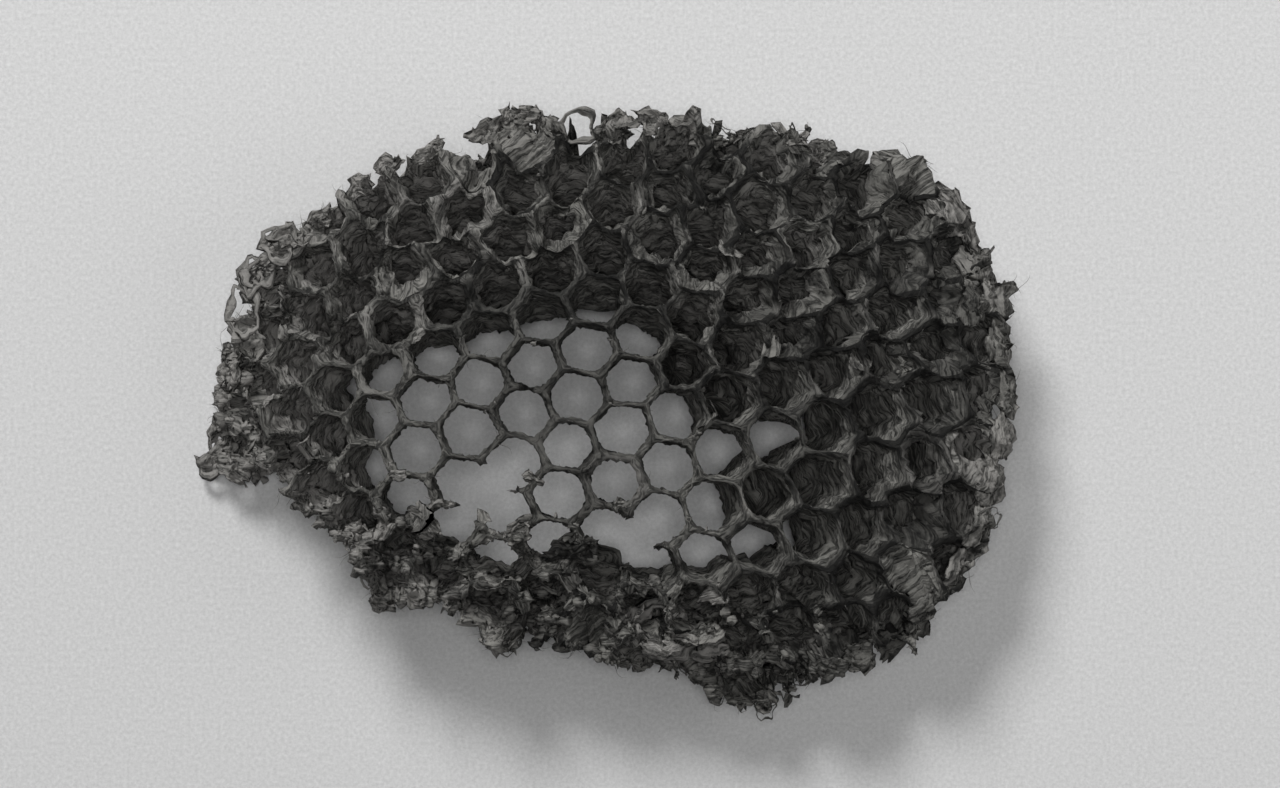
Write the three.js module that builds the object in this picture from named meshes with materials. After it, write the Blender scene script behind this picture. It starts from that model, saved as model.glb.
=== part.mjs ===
import * as THREE from 'three';

// A paper wasp comb lying on its back: open cells face up, closed cell ends face down.
// Millimetres. +X runs along the long way of the comb, +Y across it, +Z up from the surface it lies on.
// The origin is under the middle of the comb, at its lowest level.

// Cell layout on the comb face, before the face is rolled down at its edges.
const STEP_ALONG_ROW = [6.3, 2.03];      // from one cell to the next in a row
const STEP_ACROSS_ROWS = [1.08, 5.74];   // from one row to the next
const FIRST_CELL_AT = [-13.5, -2.2];     // centre of cell 0,0
const ROW_EASING = 0.059;                // how much flatter each lower row runs
const ROW_BEND = -0.041;                 // droop of a row toward both of its ends
const ROW_SPREAD = -0.023;               // narrowing of the upper rows to the right

// Rows of cells, from the lowest to the highest: row number, first cell, last cell.
const ROWS = [
  [-7, 5, 6], [-6, 3, 8], [-5, 1, 9], [-4, 0, 9], [-3, -2, 9], [-2, -2, 9], [-1, -3, 9],
  [0, -4, 9], [1, -5, 8], [2, -7, 7], [3, -7, 7], [4, -7, 5], [5, -6, 3], [6, -5, 0],
];

// Rows of cells whose ends are torn away, so that they are open right through.
const OPEN_ROWS = [
  [-4, 3, 6], [-3, 0, 4], [-2, -1, 6], [-1, -2, 3], [0, -3, 2], [1, -3, 2], [2, -4, 1],
];

// Walls that are torn out: the cell on one side, then the cell on the other side.
const TORN_WALLS = [
  [-1, -1, 0, -1], [-1, -2, -1, -1], [-1, -1, 0, -2], [-1, -2, 0, -2], [0, -2, 0, -1],
  [2, -3, 3, -3], [2, -2, 3, -3], [3, -4, 3, -3], [2, -3, 3, -4], [2, -4, 3, -4], [0, 0, 0, 1],
];

// Dome of the comb face.
const FACE_HEIGHT = 18;                              // height of the flat middle of the face
const FLAT_FACE = { left: -24, right: 6, bottom: -10, top: 3 };
const ROLL_RADIUS = { left: 34, right: 130, bottom: 45, top: 90 };

// Fan of the cells: how fast they lean outward away from the middle.
const UPRIGHT_ZONE = { left: -25, right: 1, bottom: -16, top: 1.5 };
const FAN_RADIUS = { left: 22, right: 50, bottom: 28, top: 42 };
const MOST_LEAN = 72;                                // degrees

// Depth of the cells.
const TORN_DEPTH = 8.5;                              // cells that have lost their ends
const RING_DEPTH = 19;                               // deepest cells, in the ring around the middle
const RIM_DEPTH = 13;                                // young cells at the rim
const LOW_SIDE_DEPTH = 11;                           // cells of the left and lower sides
const RIM_LEAN = [22, 42];                           // degrees of lean over which they get shallow again
const LOW_SIDE_LEAN = [2, 12];                       // degrees of lean into the left or lower side

const WALL = 0.7;                                    // thickness of the walls
const END_CAP = 0.8;                                 // thickness of the cell ends
const END_BULGE = 0.9;                               // how far an end bulges at its middle
const MOUTH_UNEVEN = 1.1;                            // spread of the wall heights
const CORNER_UNEVEN = 0.45;                          // spread of the corners sideways
const MIDDLE_LEVEL = 0.55;                           // level of the bend in each wall, from end to mouth

// Levels up a cell: the outer and inner sides of its end, the bend in its walls, and its mouth.
const [OUTER, INNER, BEND, MOUTH] = [0, 1, 2, 3];
const THIRD = 3;                                     // corners sit at thirds between cell centres
const CORNER_OFFSET = WALL / Math.sqrt(THIRD);       // from a corner line to the inside of a wall
const SCATTER = { a: 12.9898, b: 78.233, salt: 37.719, gain: 43758.5453 };

// A repeatable number from -0.5 to 0.5 for a lattice place.
function scatter([a, b], salt) {
  const wave = Math.sin(a * SCATTER.a + b * SCATTER.b + salt * SCATTER.salt) * SCATTER.gain;
  return wave - Math.floor(wave) - 0.5;
}

function smoothStep(value, [low, high]) {
  const t = THREE.MathUtils.clamp((value - low) / (high - low), 0, 1);
  return t * t * (3 - 2 * t);
}

// Rolls one coordinate of the flat sheet down over an edge: new coordinate and drop.
function rollOver(s, low, high, lowRadius, highRadius) {
  const past = s > high ? s - high : Math.min(s - low, 0);
  if (past === 0) return [s, 0];
  const radius = past > 0 ? highRadius : lowRadius;
  const angle = past / radius;
  return [s - past + radius * Math.sin(angle), radius * (1 - Math.cos(angle))];
}

function leanOf(s, low, high, lowRadius, highRadius) {
  if (s > high) return (s - high) / highRadius;
  return s < low ? (s - low) / lowRadius : 0;
}

function inRows(rows, [a, b]) {
  return rows.some(([row, first, last]) => b === row && a >= first && a <= last);
}

// Mouth point, cell axis and full depth of the comb at lattice place a (along the row), b (row).
function combAt(a, b) {
  const flatX = FIRST_CELL_AT[0] + a * STEP_ALONG_ROW[0] + b * STEP_ACROSS_ROWS[0] + ROW_SPREAD * a * b;
  const easing = 1 + ROW_EASING * Math.min(b + 1, 0);
  const flatY = FIRST_CELL_AT[1] + a * STEP_ALONG_ROW[1] * easing + b * STEP_ACROSS_ROWS[1] + ROW_BEND * a * a;
  const [x, dropX] = rollOver(flatX, FLAT_FACE.left, FLAT_FACE.right, ROLL_RADIUS.left, ROLL_RADIUS.right);
  const [y, dropY] = rollOver(flatY, FLAT_FACE.bottom, FLAT_FACE.top, ROLL_RADIUS.bottom, ROLL_RADIUS.top);
  const mouth = new THREE.Vector3(x, y, FACE_HEIGHT - dropX - dropY);

  const most = THREE.MathUtils.degToRad(MOST_LEAN);
  const leanX = leanOf(x, UPRIGHT_ZONE.left, UPRIGHT_ZONE.right, FAN_RADIUS.left, FAN_RADIUS.right);
  const leanY = leanOf(y, UPRIGHT_ZONE.bottom, UPRIGHT_ZONE.top, FAN_RADIUS.bottom, FAN_RADIUS.top);
  const raw = Math.hypot(leanX, leanY);
  const lean = most * Math.tanh(raw / most);
  const share = raw > 0 ? Math.sin(lean) / raw : 1;
  const axis = new THREE.Vector3(leanX * share, leanY * share, Math.cos(lean)).normalize();

  const leanDegrees = THREE.MathUtils.radToDeg(lean);
  const intoLowSide = THREE.MathUtils.radToDeg(-Math.min(leanX, leanY));
  const inward = THREE.MathUtils.lerp(RING_DEPTH, LOW_SIDE_DEPTH, smoothStep(intoLowSide, LOW_SIDE_LEAN));
  const fullDepth = THREE.MathUtils.lerp(inward, Math.min(inward, RIM_DEPTH), smoothStep(leanDegrees, RIM_LEAN));
  return { mouth, axis, fullDepth };
}

// The cells around a lattice place given in thirds: the cell itself, or the three that meet in a corner.
function cellsAround(place) {
  const [a, b] = place;
  const part = ((a % THIRD) + THIRD) % THIRD;
  if (part === 0) return [[a / THIRD, b / THIRD]];
  if (part === 1) {
    const [x, y] = [(a - 1) / THIRD, (b - 1) / THIRD];
    return [[x, y], [x + 1, y], [x, y + 1]];
  }
  const [x, y] = [(a + 1) / THIRD, (b - 2) / THIRD];
  return [[x, y], [x, y + 1], [x - 1, y + 1]];
}

// Depth of the comb at a place in thirds: shallow where the cells around it are torn, full where none is.
function depthAt(place) {
  const cells = cellsAround(place);
  const wholeShare = cells.filter((cell) => !inRows(OPEN_ROWS, cell)).length / cells.length;
  const { fullDepth } = combAt(place[0] / THIRD, place[1] / THIRD);
  return THREE.MathUtils.lerp(TORN_DEPTH, fullDepth, wholeShare ** 2);
}

// Keeps a point of the outer side on or above the surface, and one of the inner side a cap's thickness above it.
function keepAboveSurface(point, level) {
  point.z = Math.max(point.z, level === OUTER ? 0 : END_CAP);
  return point;
}

// A point of the comb at a place in thirds and a level.
function combPoint(place, level) {
  const { mouth, axis } = combAt(place[0] / THIRD, place[1] / THIRD);
  const isCorner = place[0] % THIRD !== 0;
  const depth = Math.min(depthAt(place), mouth.z / axis.z);
  const below = [depth, depth - END_CAP, depth * (1 - MIDDLE_LEVEL), 0][level];
  const point = mouth.addScaledVector(axis, -below);
  if (isCorner) {
    point.x += scatter(place, level) * CORNER_UNEVEN;
    point.y += scatter(place, MOUTH + 1 + level) * CORNER_UNEVEN;
    if (level === MOUTH) point.addScaledVector(axis, scatter(place, -1) * MOUTH_UNEVEN);
  }
  return keepAboveSurface(point, level);
}

// Vertices are shared through their names, so that touching pieces of wall join up.
const vertices = [];
const vertexByName = new Map();
function vertex(name, make) {
  if (!vertexByName.has(name)) {
    vertexByName.set(name, vertices.length);
    vertices.push(make());
  }
  return vertexByName.get(name);
}

function inThirds(cell, offset = [0, 0]) {
  return cell.map((place, k) => place * THIRD + offset[k]);
}

// The inner corner of a cell, beside a corner line given in thirds of the lattice steps.
function innerCorner(corner, cell, level) {
  return vertex(`corner ${corner} of ${cell} at ${level}`, () => {
    const line = combPoint(corner, level);
    const centre = combPoint(inThirds(cell), level);
    const inward = centre.sub(line);
    if (level <= INNER) inward.z = 0;
    return line.addScaledVector(inward.normalize(), CORNER_OFFSET);
  });
}

// A face that two pieces share lies inside the paper, so it cancels out.
const faces = new Map();
function addFace(loop) {
  const name = [...loop].sort((p, q) => p - q).join(' ');
  if (faces.has(name)) faces.delete(name);
  else faces.set(name, loop);
}

// A short column with the same outline, anticlockwise from above, at its lower and upper ends.
function addColumn(lower, upper) {
  addFace([...lower].reverse());
  addFace([...upper]);
  lower.forEach((low, k) => {
    const next = (k + 1) % lower.length;
    addFace([low, lower[next], upper[next], upper[k]]);
  });
}

// Corners of a cell in thirds, anticlockwise, each with the neighbour past the side that follows it.
const CORNERS = [[1, 1], [-1, 2], [-2, 1], [-1, -1], [1, -2], [2, -1]];
const NEIGHBOURS = [[0, 1], [-1, 1], [-1, 0], [0, -1], [1, -1], [1, 0]];

function isTorn(one, other) {
  return TORN_WALLS.some(([a, b, c, d]) =>
    (one[0] === a && one[1] === b && other[0] === c && other[1] === d)
    || (other[0] === a && other[1] === b && one[0] === c && one[1] === d));
}

const wallsBuilt = new Set();
const cornersBuilt = new Map();

function addWall(cell, side) {
  const step = NEIGHBOURS[side];
  const other = [cell[0] + step[0], cell[1] + step[1]];
  const name = inRows(ROWS, other) && `${other}` < `${cell}` ? `${other} ${cell}` : `${cell} ${other}`;
  if (wallsBuilt.has(name) || isTorn(cell, other)) return;
  wallsBuilt.add(name);
  const start = inThirds(cell, CORNERS[side]);
  const end = inThirds(cell, CORNERS[(side + 1) % CORNERS.length]);
  cornersBuilt.set(`${start}`, start);
  cornersBuilt.set(`${end}`, end);
  for (let level = OUTER; level < MOUTH; level += 1) {
    const outline = (at) => [
      innerCorner(start, other, at), innerCorner(end, other, at),
      innerCorner(end, cell, at), innerCorner(start, cell, at),
    ];
    addColumn(outline(level), outline(level + 1));
  }
}

function addCornerPost(corner) {
  const cells = cellsAround(corner);
  for (let level = OUTER; level < MOUTH; level += 1) {
    const outline = (at) => cells.map((cell) => innerCorner(corner, cell, at));
    addColumn(outline(level), outline(level + 1));
  }
}

function addCellEnd(cell) {
  const middle = (level) => vertex(`end ${cell} at ${level}`, () => {
    const point = combPoint(inThirds(cell), level).addScaledVector(combAt(...cell).axis, -END_BULGE);
    return keepAboveSurface(point, level);
  });
  CORNERS.forEach((offset, side) => {
    const start = inThirds(cell, offset);
    const end = inThirds(cell, CORNERS[(side + 1) % CORNERS.length]);
    const outline = (at) => [middle(at), innerCorner(start, cell, at), innerCorner(end, cell, at)];
    addColumn(outline(OUTER), outline(INNER));
  });
}

for (const [row, first, last] of ROWS) {
  for (let place = first; place <= last; place += 1) {
    const cell = [place, row];
    NEIGHBOURS.forEach((_, side) => addWall(cell, side));
    if (!inRows(OPEN_ROWS, cell)) addCellEnd(cell);
  }
}
for (const corner of cornersBuilt.values()) addCornerPost(corner);

// Triangles of the outside, four-sided faces split from their first corner.
const triangles = [];
for (const loop of faces.values()) {
  for (let k = 1; k < loop.length - 1; k += 1) triangles.push(loop[0], loop[k], loop[k + 1]);
}

const combGeometry = new THREE.BufferGeometry();
combGeometry.setAttribute('position', new THREE.Float32BufferAttribute(vertices.flatMap((p) => p.toArray()), 3));
combGeometry.setIndex(triangles);
combGeometry.computeBoundingBox();
const box = combGeometry.boundingBox;
combGeometry.translate(-(box.min.x + box.max.x) / 2, -(box.min.y + box.max.y) / 2, -box.min.z);
combGeometry.computeVertexNormals();

const weatheredPaper = new THREE.MeshStandardMaterial({ color: 0x5b5853, roughness: 0.95, metalness: 0 });
const comb = new THREE.Mesh(combGeometry, weatheredPaper);
comb.name = 'comb';

const waspNest = new THREE.Group();
waspNest.name = 'wasp_nest';
waspNest.add(comb);

export default waspNest;
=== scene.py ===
# %% [markdown]
# # A paper wasp comb
# The real thing is one piece of grey paper that wasps made from chewed wood. It lies on its back with its
# open cells up. Its walls are thin, wrinkled and torn, so the comb is grown here in code, wall by wall,
# inside the solid comb that the frame gives, and then takes that solid's place.

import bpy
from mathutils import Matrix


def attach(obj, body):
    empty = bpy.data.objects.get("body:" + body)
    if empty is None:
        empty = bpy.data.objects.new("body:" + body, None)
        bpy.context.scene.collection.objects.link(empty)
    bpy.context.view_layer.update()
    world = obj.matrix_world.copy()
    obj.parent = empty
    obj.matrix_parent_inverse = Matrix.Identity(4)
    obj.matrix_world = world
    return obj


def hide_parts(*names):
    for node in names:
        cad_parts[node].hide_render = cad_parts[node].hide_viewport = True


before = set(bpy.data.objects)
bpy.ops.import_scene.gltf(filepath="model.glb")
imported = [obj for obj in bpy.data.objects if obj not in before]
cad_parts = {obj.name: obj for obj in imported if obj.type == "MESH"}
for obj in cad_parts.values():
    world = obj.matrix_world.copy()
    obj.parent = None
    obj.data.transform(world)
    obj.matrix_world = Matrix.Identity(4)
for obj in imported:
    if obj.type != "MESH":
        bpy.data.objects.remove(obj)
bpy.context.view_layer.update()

# %% Tools of the trade
import bpy
import numpy as np
from mathutils import Vector

MM = 0.001                 # Blender works in metres, and the comb is measured in millimetres
rng = np.random.default_rng(41)

# %% [markdown]
# ## The camera
# A flat thing on a table is best seen from straight above. A long lens held well away keeps the near and the
# far cells at nearly the same size. The lens follows from the width that must fit in the frame.

# %% Camera
CAMERA_ABOVE = 450.0       # mm over the table
FACE_HEIGHT = 18.0         # mm, the cell mouths in the middle of the comb
FRAME_WIDTH = 148.8        # mm of the face plane that the frame takes in
CAMERA_OVER = (3.5, 2.1)   # mm, the point that the camera hangs over

camera_data = bpy.data.cameras.new("camera")
camera_data.sensor_width = 36.0
camera_data.lens = camera_data.sensor_width * (CAMERA_ABOVE - FACE_HEIGHT) / FRAME_WIDTH
camera = bpy.data.objects.new("camera", camera_data)
camera.location = Vector((*CAMERA_OVER, CAMERA_ABOVE)) * MM
bpy.context.scene.collection.objects.link(camera)
bpy.context.scene.camera = camera
print("lens, mm:", round(camera_data.lens, 1))

# %% [markdown]
# ## Where the cells stand
# Wasps add one six-sided cell beside another, so cell centres fall on a slanted grid: a steps along a row and
# b steps across the rows. The sheet of cell mouths is flat in the middle and rolls down at its edges, and the
# cells lean outward like the ribs of a fan. The numbers are those of the solid comb, so both agree. Only at
# the left do the cells lean a little less here, so that more of the table shows through them.

# %% Comb layout, in millimetres and degrees
STEP_ALONG_ROW = (6.3, 2.03)
STEP_ACROSS_ROWS = (1.08, 5.74)
FIRST_CELL_AT = (-13.5, -2.2)
ROW_EASING, ROW_BEND, ROW_SPREAD = 0.059, -0.041, -0.023     # how the rows flatten, curve and draw apart
FLAT_FACE = dict(left=-24.0, right=6.0, bottom=-10.0, top=3.0)        # where the sheet of mouths is level
ROLL_RADIUS = dict(left=34.0, right=130.0, bottom=45.0, top=90.0)     # of that sheet beyond its flat part
UPRIGHT_ZONE = dict(left=-30.0, right=1.0, bottom=-16.0, top=1.5)     # where the cells stand upright
FAN_RADIUS = dict(left=17.0, right=50.0, bottom=28.0, top=42.0)       # mm of way outward for a radian of lean
MOST_LEAN = np.radians(72.0)
TORN_DEPTH = 8.5                                      # what is left of the cells in the middle
RING_DEPTH = 19.0                                     # the sound cells around them
RIM_DEPTH, RIM_LEAN = 13.0, (22.0, 42.0)              # cells grow shorter as they lean from 22 to 42 degrees
LOW_SIDE_DEPTH, LOW_SIDE_LEAN = 11.0, (2.0, 12.0)     # the same for cells that lean to the left or the front
SOLID_MIDDLE = (-3.445, -2.019)                       # where these numbers put the middle of the solid comb

# %% Rows of cells: row number, first cell, last cell
ROWS = [
    (-7, 5, 6), (-6, 3, 8), (-5, 1, 9), (-4, 0, 9), (-3, -2, 9), (-2, -2, 9), (-1, -3, 9),
    (0, -4, 9), (1, -5, 8), (2, -7, 7), (3, -7, 7), (4, -7, 5), (5, -6, 3), (6, -5, 0),
]
OPEN_ROWS = [
    (-4, 3, 6), (-3, 0, 4), (-2, -1, 6), (-1, -2, 3), (0, -3, 2), (1, -3, 2), (2, -4, 1),
]
CELLS = {(a, b) for b, first, last in ROWS for a in range(first, last + 1)}
OPEN_CELLS = {(a, b) for b, first, last in OPEN_ROWS for a in range(first, last + 1)}
print("cells:", len(CELLS), "open right through:", len(OPEN_CELLS))


# %% Helpers for the layout
ENDS = dict(x=("left", "right"), y=("bottom", "top"))


def smooth_step(value, low, high):
    t = np.clip((value - low) / (high - low), 0, 1)
    return t * t * (3 - 2 * t)


def roll_over(s, way):
    """A coordinate of the flat sheet rolled down over an edge: new coordinate and drop."""
    low, high = (FLAT_FACE[end] for end in ENDS[way])
    low_radius, high_radius = (ROLL_RADIUS[end] for end in ENDS[way])
    past = np.where(s > high, s - high, np.minimum(s - low, 0))
    radius = np.where(past > 0, high_radius, low_radius)
    return s - past + radius * np.sin(past / radius), radius * (1 - np.cos(past / radius))


def lean_of(s, way):
    """How far the cells lean outward at a coordinate, in radians."""
    low, high = (UPRIGHT_ZONE[end] for end in ENDS[way])
    low_radius, high_radius = (FAN_RADIUS[end] for end in ENDS[way])
    return np.where(s > high, (s - high) / high_radius, np.where(s < low, (s - low) / low_radius, 0))


# %% Mouth, axis and full depth at any place of the comb
def comb_at(a, b):
    flat_x = FIRST_CELL_AT[0] + a * STEP_ALONG_ROW[0] + b * STEP_ACROSS_ROWS[0] + ROW_SPREAD * a * b
    easing = 1 + ROW_EASING * np.minimum(b + 1, 0)
    flat_y = FIRST_CELL_AT[1] + a * STEP_ALONG_ROW[1] * easing + b * STEP_ACROSS_ROWS[1] + ROW_BEND * a * a
    x, drop_x = roll_over(flat_x, "x")
    y, drop_y = roll_over(flat_y, "y")
    mouth = np.array([x, y, FACE_HEIGHT - drop_x - drop_y])
    lean_x, lean_y = lean_of(x, "x"), lean_of(y, "y")
    raw = np.hypot(lean_x, lean_y)
    lean = MOST_LEAN * np.tanh(raw / MOST_LEAN)
    share = np.sin(lean) / raw if raw > 0 else 1.0
    axis = np.array([lean_x * share, lean_y * share, np.cos(lean)])
    low_side = smooth_step(np.degrees(-min(lean_x, lean_y)), *LOW_SIDE_LEAN)
    inward = RING_DEPTH + (LOW_SIDE_DEPTH - RING_DEPTH) * low_side
    full = inward + (min(inward, RIM_DEPTH) - inward) * smooth_step(np.degrees(lean), *RIM_LEAN)
    return mouth, axis / np.linalg.norm(axis), full


# %% [markdown]
# ## Corner lines
# Three walls meet at every corner of the honeycomb, in a line that runs from the mouth down to the foot. If
# each such line is worked out once, from nothing but its place, then all the walls that share it fit without
# a gap. Where a cell is missing, the corner is part of the comb's edge. It is drawn in or filled there,
# because a grown edge is rounder than a cut honeycomb. Every line wanders a little, since no cell is built
# quite like the next.

# %% Corners of the cells
# Corners are counted in thirds of a step, so that every corner has whole numbers for a name.
CORNERS = [(1, 1), (-1, 2), (-2, 1), (-1, -1), (1, -2), (2, -1)]
NEIGHBOURS = [(0, 1), (-1, 1), (-1, 0), (0, -1), (1, -1), (1, 0)]
CORNER_UNEVEN = 0.45       # mm that a corner line wanders sideways
MOUTH_UNEVEN = 1.1         # mm that its mouth stands higher or lower than the even sheet
BEND_AT = 0.45             # share of its depth at which it bends
SHRUNKEN = 1.1             # mm that a mouth corner of a closed cell has moved as the paper shrank
TIP_DRAWN_IN, NOTCH_FILLED = 0.80, 1.45     # the comb's edge is rounder than a row of plain hexagons
CRUSHED_CELLS = {(9, -5): 0.45, (7, 3): 0.42, (3, 5): 0.55}     # edge cells whose tips are pressed in further


def scatter(place, salt):
    """A repeatable number from -0.5 to 0.5 for a place."""
    wave = np.sin(place[0] * 12.9898 + place[1] * 78.233 + salt * 37.719) * 43758.5453
    return wave - np.floor(wave) - 0.5


def cells_around(place):
    a, b = place
    if a % 3 == 0:
        return [(a // 3, b // 3)]
    if a % 3 == 1:
        x, y = (a - 1) // 3, (b - 1) // 3
        return [(x, y), (x + 1, y), (x, y + 1)]
    x, y = (a + 1) // 3, (b - 2) // 3
    return [(x, y), (x, y + 1), (x - 1, y + 1)]


def corner_line(place):
    """The line where three walls meet: its mouth, axis, depth, and its sideways wander at three levels."""
    mouth, axis, full = comb_at(place[0] / 3, place[1] / 3)
    standing = [cell for cell in cells_around(place) if cell in CELLS]
    if len(standing) < 3:
        middle = np.mean([comb_at(*cell)[0] for cell in standing], axis=0)
        tip = CRUSHED_CELLS.get(standing[0], TIP_DRAWN_IN)
        mouth = middle + (mouth - middle) * (tip if len(standing) == 1 else NOTCH_FILLED)
    whole = np.mean([cell not in OPEN_CELLS for cell in cells_around(place)])
    depth = min(TORN_DEPTH + (full - TORN_DEPTH) * whole ** 2, mouth[2] / axis[2])
    wander = np.array([[scatter(place, level), scatter(place, 4 + level), 0] for level in (3, 2, 0)])
    wander[0, :2] += SHRUNKEN * whole * np.array([scatter(place, 31), scatter(place, 32)]) / CORNER_UNEVEN
    rise = scatter(place, -1) * MOUTH_UNEVEN * (1 + 1.3 * whole)
    return dict(mouth=mouth, axis=axis, depth=depth, wander=wander * CORNER_UNEVEN, rise=rise, whole=whole)


# %% [markdown]
# ## Wrinkles
# Paper that has been wetted and dried is never flat. A sum of many sine waves that run in all directions
# gives a smooth, wandering height at every point in space. Because it depends only on the place, two walls
# that meet in a corner wrinkle alike there, and no crack opens between them.

# %% A bank of waves
def wave_bank(wavelength, count=22, spread=0.45):
    directions = rng.normal(size=(count, 3))
    directions /= np.linalg.norm(directions, axis=1, keepdims=True)
    lengths = wavelength * rng.uniform(1 - spread, 1 + spread, (count, 1))
    return 2 * np.pi * directions / lengths, rng.uniform(0, 2 * np.pi, count)


def waves(points, bank):
    directions, phases = bank
    return np.sin(points @ directions.T + phases).sum(-1) * np.sqrt(2 / len(phases))


# %% The wrinkles of this comb, in millimetres
LONG_WRINKLE = [wave_bank(5.5) for _ in range(3)]      # one for each direction in which a point can move
SHORT_WRINKLE = [wave_bank(1.7) for _ in range(3)]
RAGGED_LONG, RAGGED_SHORT, RAGGED_FINE = wave_bank(4.0), wave_bank(1.1), wave_bank(0.5)
DIMPLES = wave_bank(0.9)
CREASE, PATCHES = wave_bank(2.2), wave_bank(6.0)
print("waves in a bank:", len(DIMPLES[1]))


def wrinkled(points, long_size, short_size):
    long_move = np.stack([waves(points, bank) for bank in LONG_WRINKLE], -1) * long_size
    short_move = np.stack([waves(points, bank) for bank in SHORT_WRINKLE], -1) * short_size
    return points + long_move + short_move


def wear_at(points):
    """How worn the paper is, from 0 in the sound middle to 1 at the left tip and along the lower edge."""
    left = smooth_step(-points[..., 0], 36, 52)
    low = smooth_step(-points[..., 1] - 0.35 * points[..., 0], 14, 30)
    top = smooth_step(points[..., 1], 25, 35) * 0.6
    right = smooth_step(points[..., 0], 36, 48) * 0.4
    return np.clip(np.maximum.reduce([left, low, top, right]), 0, 1)


# %% [markdown]
# ## The walls
# Neighbouring cells share one wall. Each wall is laid out once, as a grid between its two corner lines: its
# columns run along the wall and its rows go down from the mouth. The top edge is ragged, and in a torn wall
# it dips until only stubs are left at the corners.

# %% Wall grid
COLUMNS, LEVELS = 8, 30
CROWDING = 1.5             # rows crowd toward the mouth, where the detail is
ROW_SHARE = np.expm1(CROWDING * np.linspace(0, 1, LEVELS + 1)) / np.expm1(CROWDING)
ALONG = np.linspace(0, 1, COLUMNS + 1)
ARCH = np.sin(np.pi * ALONG)          # 0 at both corners of a wall and 1 in its middle


def between(first_value, last_value):
    """A value that runs evenly along a wall, from one corner to the other."""
    return first_value + ALONG * (last_value - first_value)


# %% Torn and arched walls
# A corner that has torn out takes the ends of its three walls with it. Each torn wall is named by the two
# cells it parts, with the share of its width that is left as a stub at each corner that still stands.
GONE_CORNERS = {(-2, -5), (-1, -4), (8, -10), (7, -11)}
TORN_WALLS = {
    frozenset([(-1, -1), (0, -1)]): 0.10, frozenset([(-1, -2), (-1, -1)]): 0.35,
    frozenset([(-1, -2), (0, -2)]): 0.30, frozenset([(0, -2), (0, -1)]): 0.12,
    frozenset([(-1, -1), (0, -2)]): 0.0, frozenset([(2, -3), (3, -4)]): 0.0,
    frozenset([(2, -3), (3, -3)]): 0.10, frozenset([(3, -4), (3, -3)]): 0.10,
    frozenset([(2, -4), (2, -3)]): 0.15, frozenset([(2, -4), (3, -4)]): 0.20,
    frozenset([(0, 0), (0, 1)]): 0.26, frozenset([(0, 6), (0, 7)]): 0.0, frozenset([(0, 6), (-1, 7)]): 0.0,
}
TEAR_SLOPE = 0.18          # share of a wall's width over which a tear runs from the rim to the foot
# Walls with an arch broken out of their foot, in mm at its highest. One sees through them to the table.
ARCHED_WALLS = {
    frozenset([(4, -2), (5, -2)]): 7.5, frozenset([(5, -2), (6, -2)]): 8.5,
    frozenset([(4, -4), (5, -4)]): 6.0, frozenset([(5, -4), (6, -4)]): 7.5,
}
print("torn walls:", len(TORN_WALLS), "arched walls:", len(ARCHED_WALLS))


def line_point(line, share):
    """Points of a corner line at shares of its depth, 0 at the mouth and 1 at the base."""
    wander = np.stack([np.interp(share, (0, BEND_AT, 1), line["wander"][:, k]) for k in range(3)], -1)
    return line["mouth"] - share[..., None] * line["depth"] * line["axis"] + wander


def top_drop(mouth, rise, wear):
    """How far the ragged top edge lies below the even mouth."""
    drop = waves(mouth, RAGGED_LONG) * (0.22 + 0.9 * wear) + waves(mouth, RAGGED_SHORT) * (0.14 + 0.35 * wear)
    drop += waves(mouth, RAGGED_FINE) * (0.07 + 0.2 * wear) + 0.5 * wear - rise
    return np.maximum(drop, -0.7)


def torn_share(first, last, stub):
    """Along a torn wall: 0 where a stub still stands and 1 where the wall is gone."""
    near = -TEAR_SLOPE if first in GONE_CORNERS else stub
    far = -TEAR_SLOPE if last in GONE_CORNERS else stub
    return (smooth_step(ALONG, near, near + TEAR_SLOPE) * smooth_step(1 - ALONG, far, far + TEAR_SLOPE))


# %% The top edge and the foot of a wall
HIGHEST = 18.75            # mm, no paper stands above this
LOWEST = 0.02              # mm, and none lies below this
DEEPEST_DIP = 5.0          # mm, the most that a worn top edge sags between its corners
CROSS_WALLS_LOWER = 2.0    # mm that the walls between one row and the next are worn lower in their middle
TIP_BROKEN = 1.1           # mm broken off where a corner stands out alone at the edge of the comb
WORN_FOOT = 5.3            # mm that has gone from the foot of the walls over the hollow
lines = {}
walls = {}


def raggedness_below(place):
    """1 where a corner line hangs free between open cells, so that its foot is worn, and 0 elsewhere."""
    return float(all(cell in OPEN_CELLS for cell in cells_around(place)))


def rimward(place):
    """Share of the three places around a corner that have no cell: 0 inside the comb, more along its rim."""
    return np.mean([cell not in CELLS for cell in cells_around(place)])


def top_edge(first, last, mouth, wear, rim):
    """How far a wall's top edge lies below its even mouth, in each column."""
    one, other = lines[first], lines[last]
    drop = top_drop(mouth, between(one["rise"], other["rise"]), wear)
    chance = scatter((first[0] + last[0], first[1] + last[1]), 20)
    dip = max(chance - 0.1, 0) * DEEPEST_DIP * (0.4 + 2 * wear.mean())
    drop = drop + dip * (1 - rim.mean()) * ARCH ** 2
    heading = other["mouth"][:2] - one["mouth"][:2]
    crosswise = abs(heading[0]) / np.hypot(*heading)
    drop = drop + CROSS_WALLS_LOWER * one["whole"] * other["whole"] * crosswise ** 2 * ARCH
    return drop + TIP_BROKEN * smooth_step(rim, 0.34, 0.67)


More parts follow.
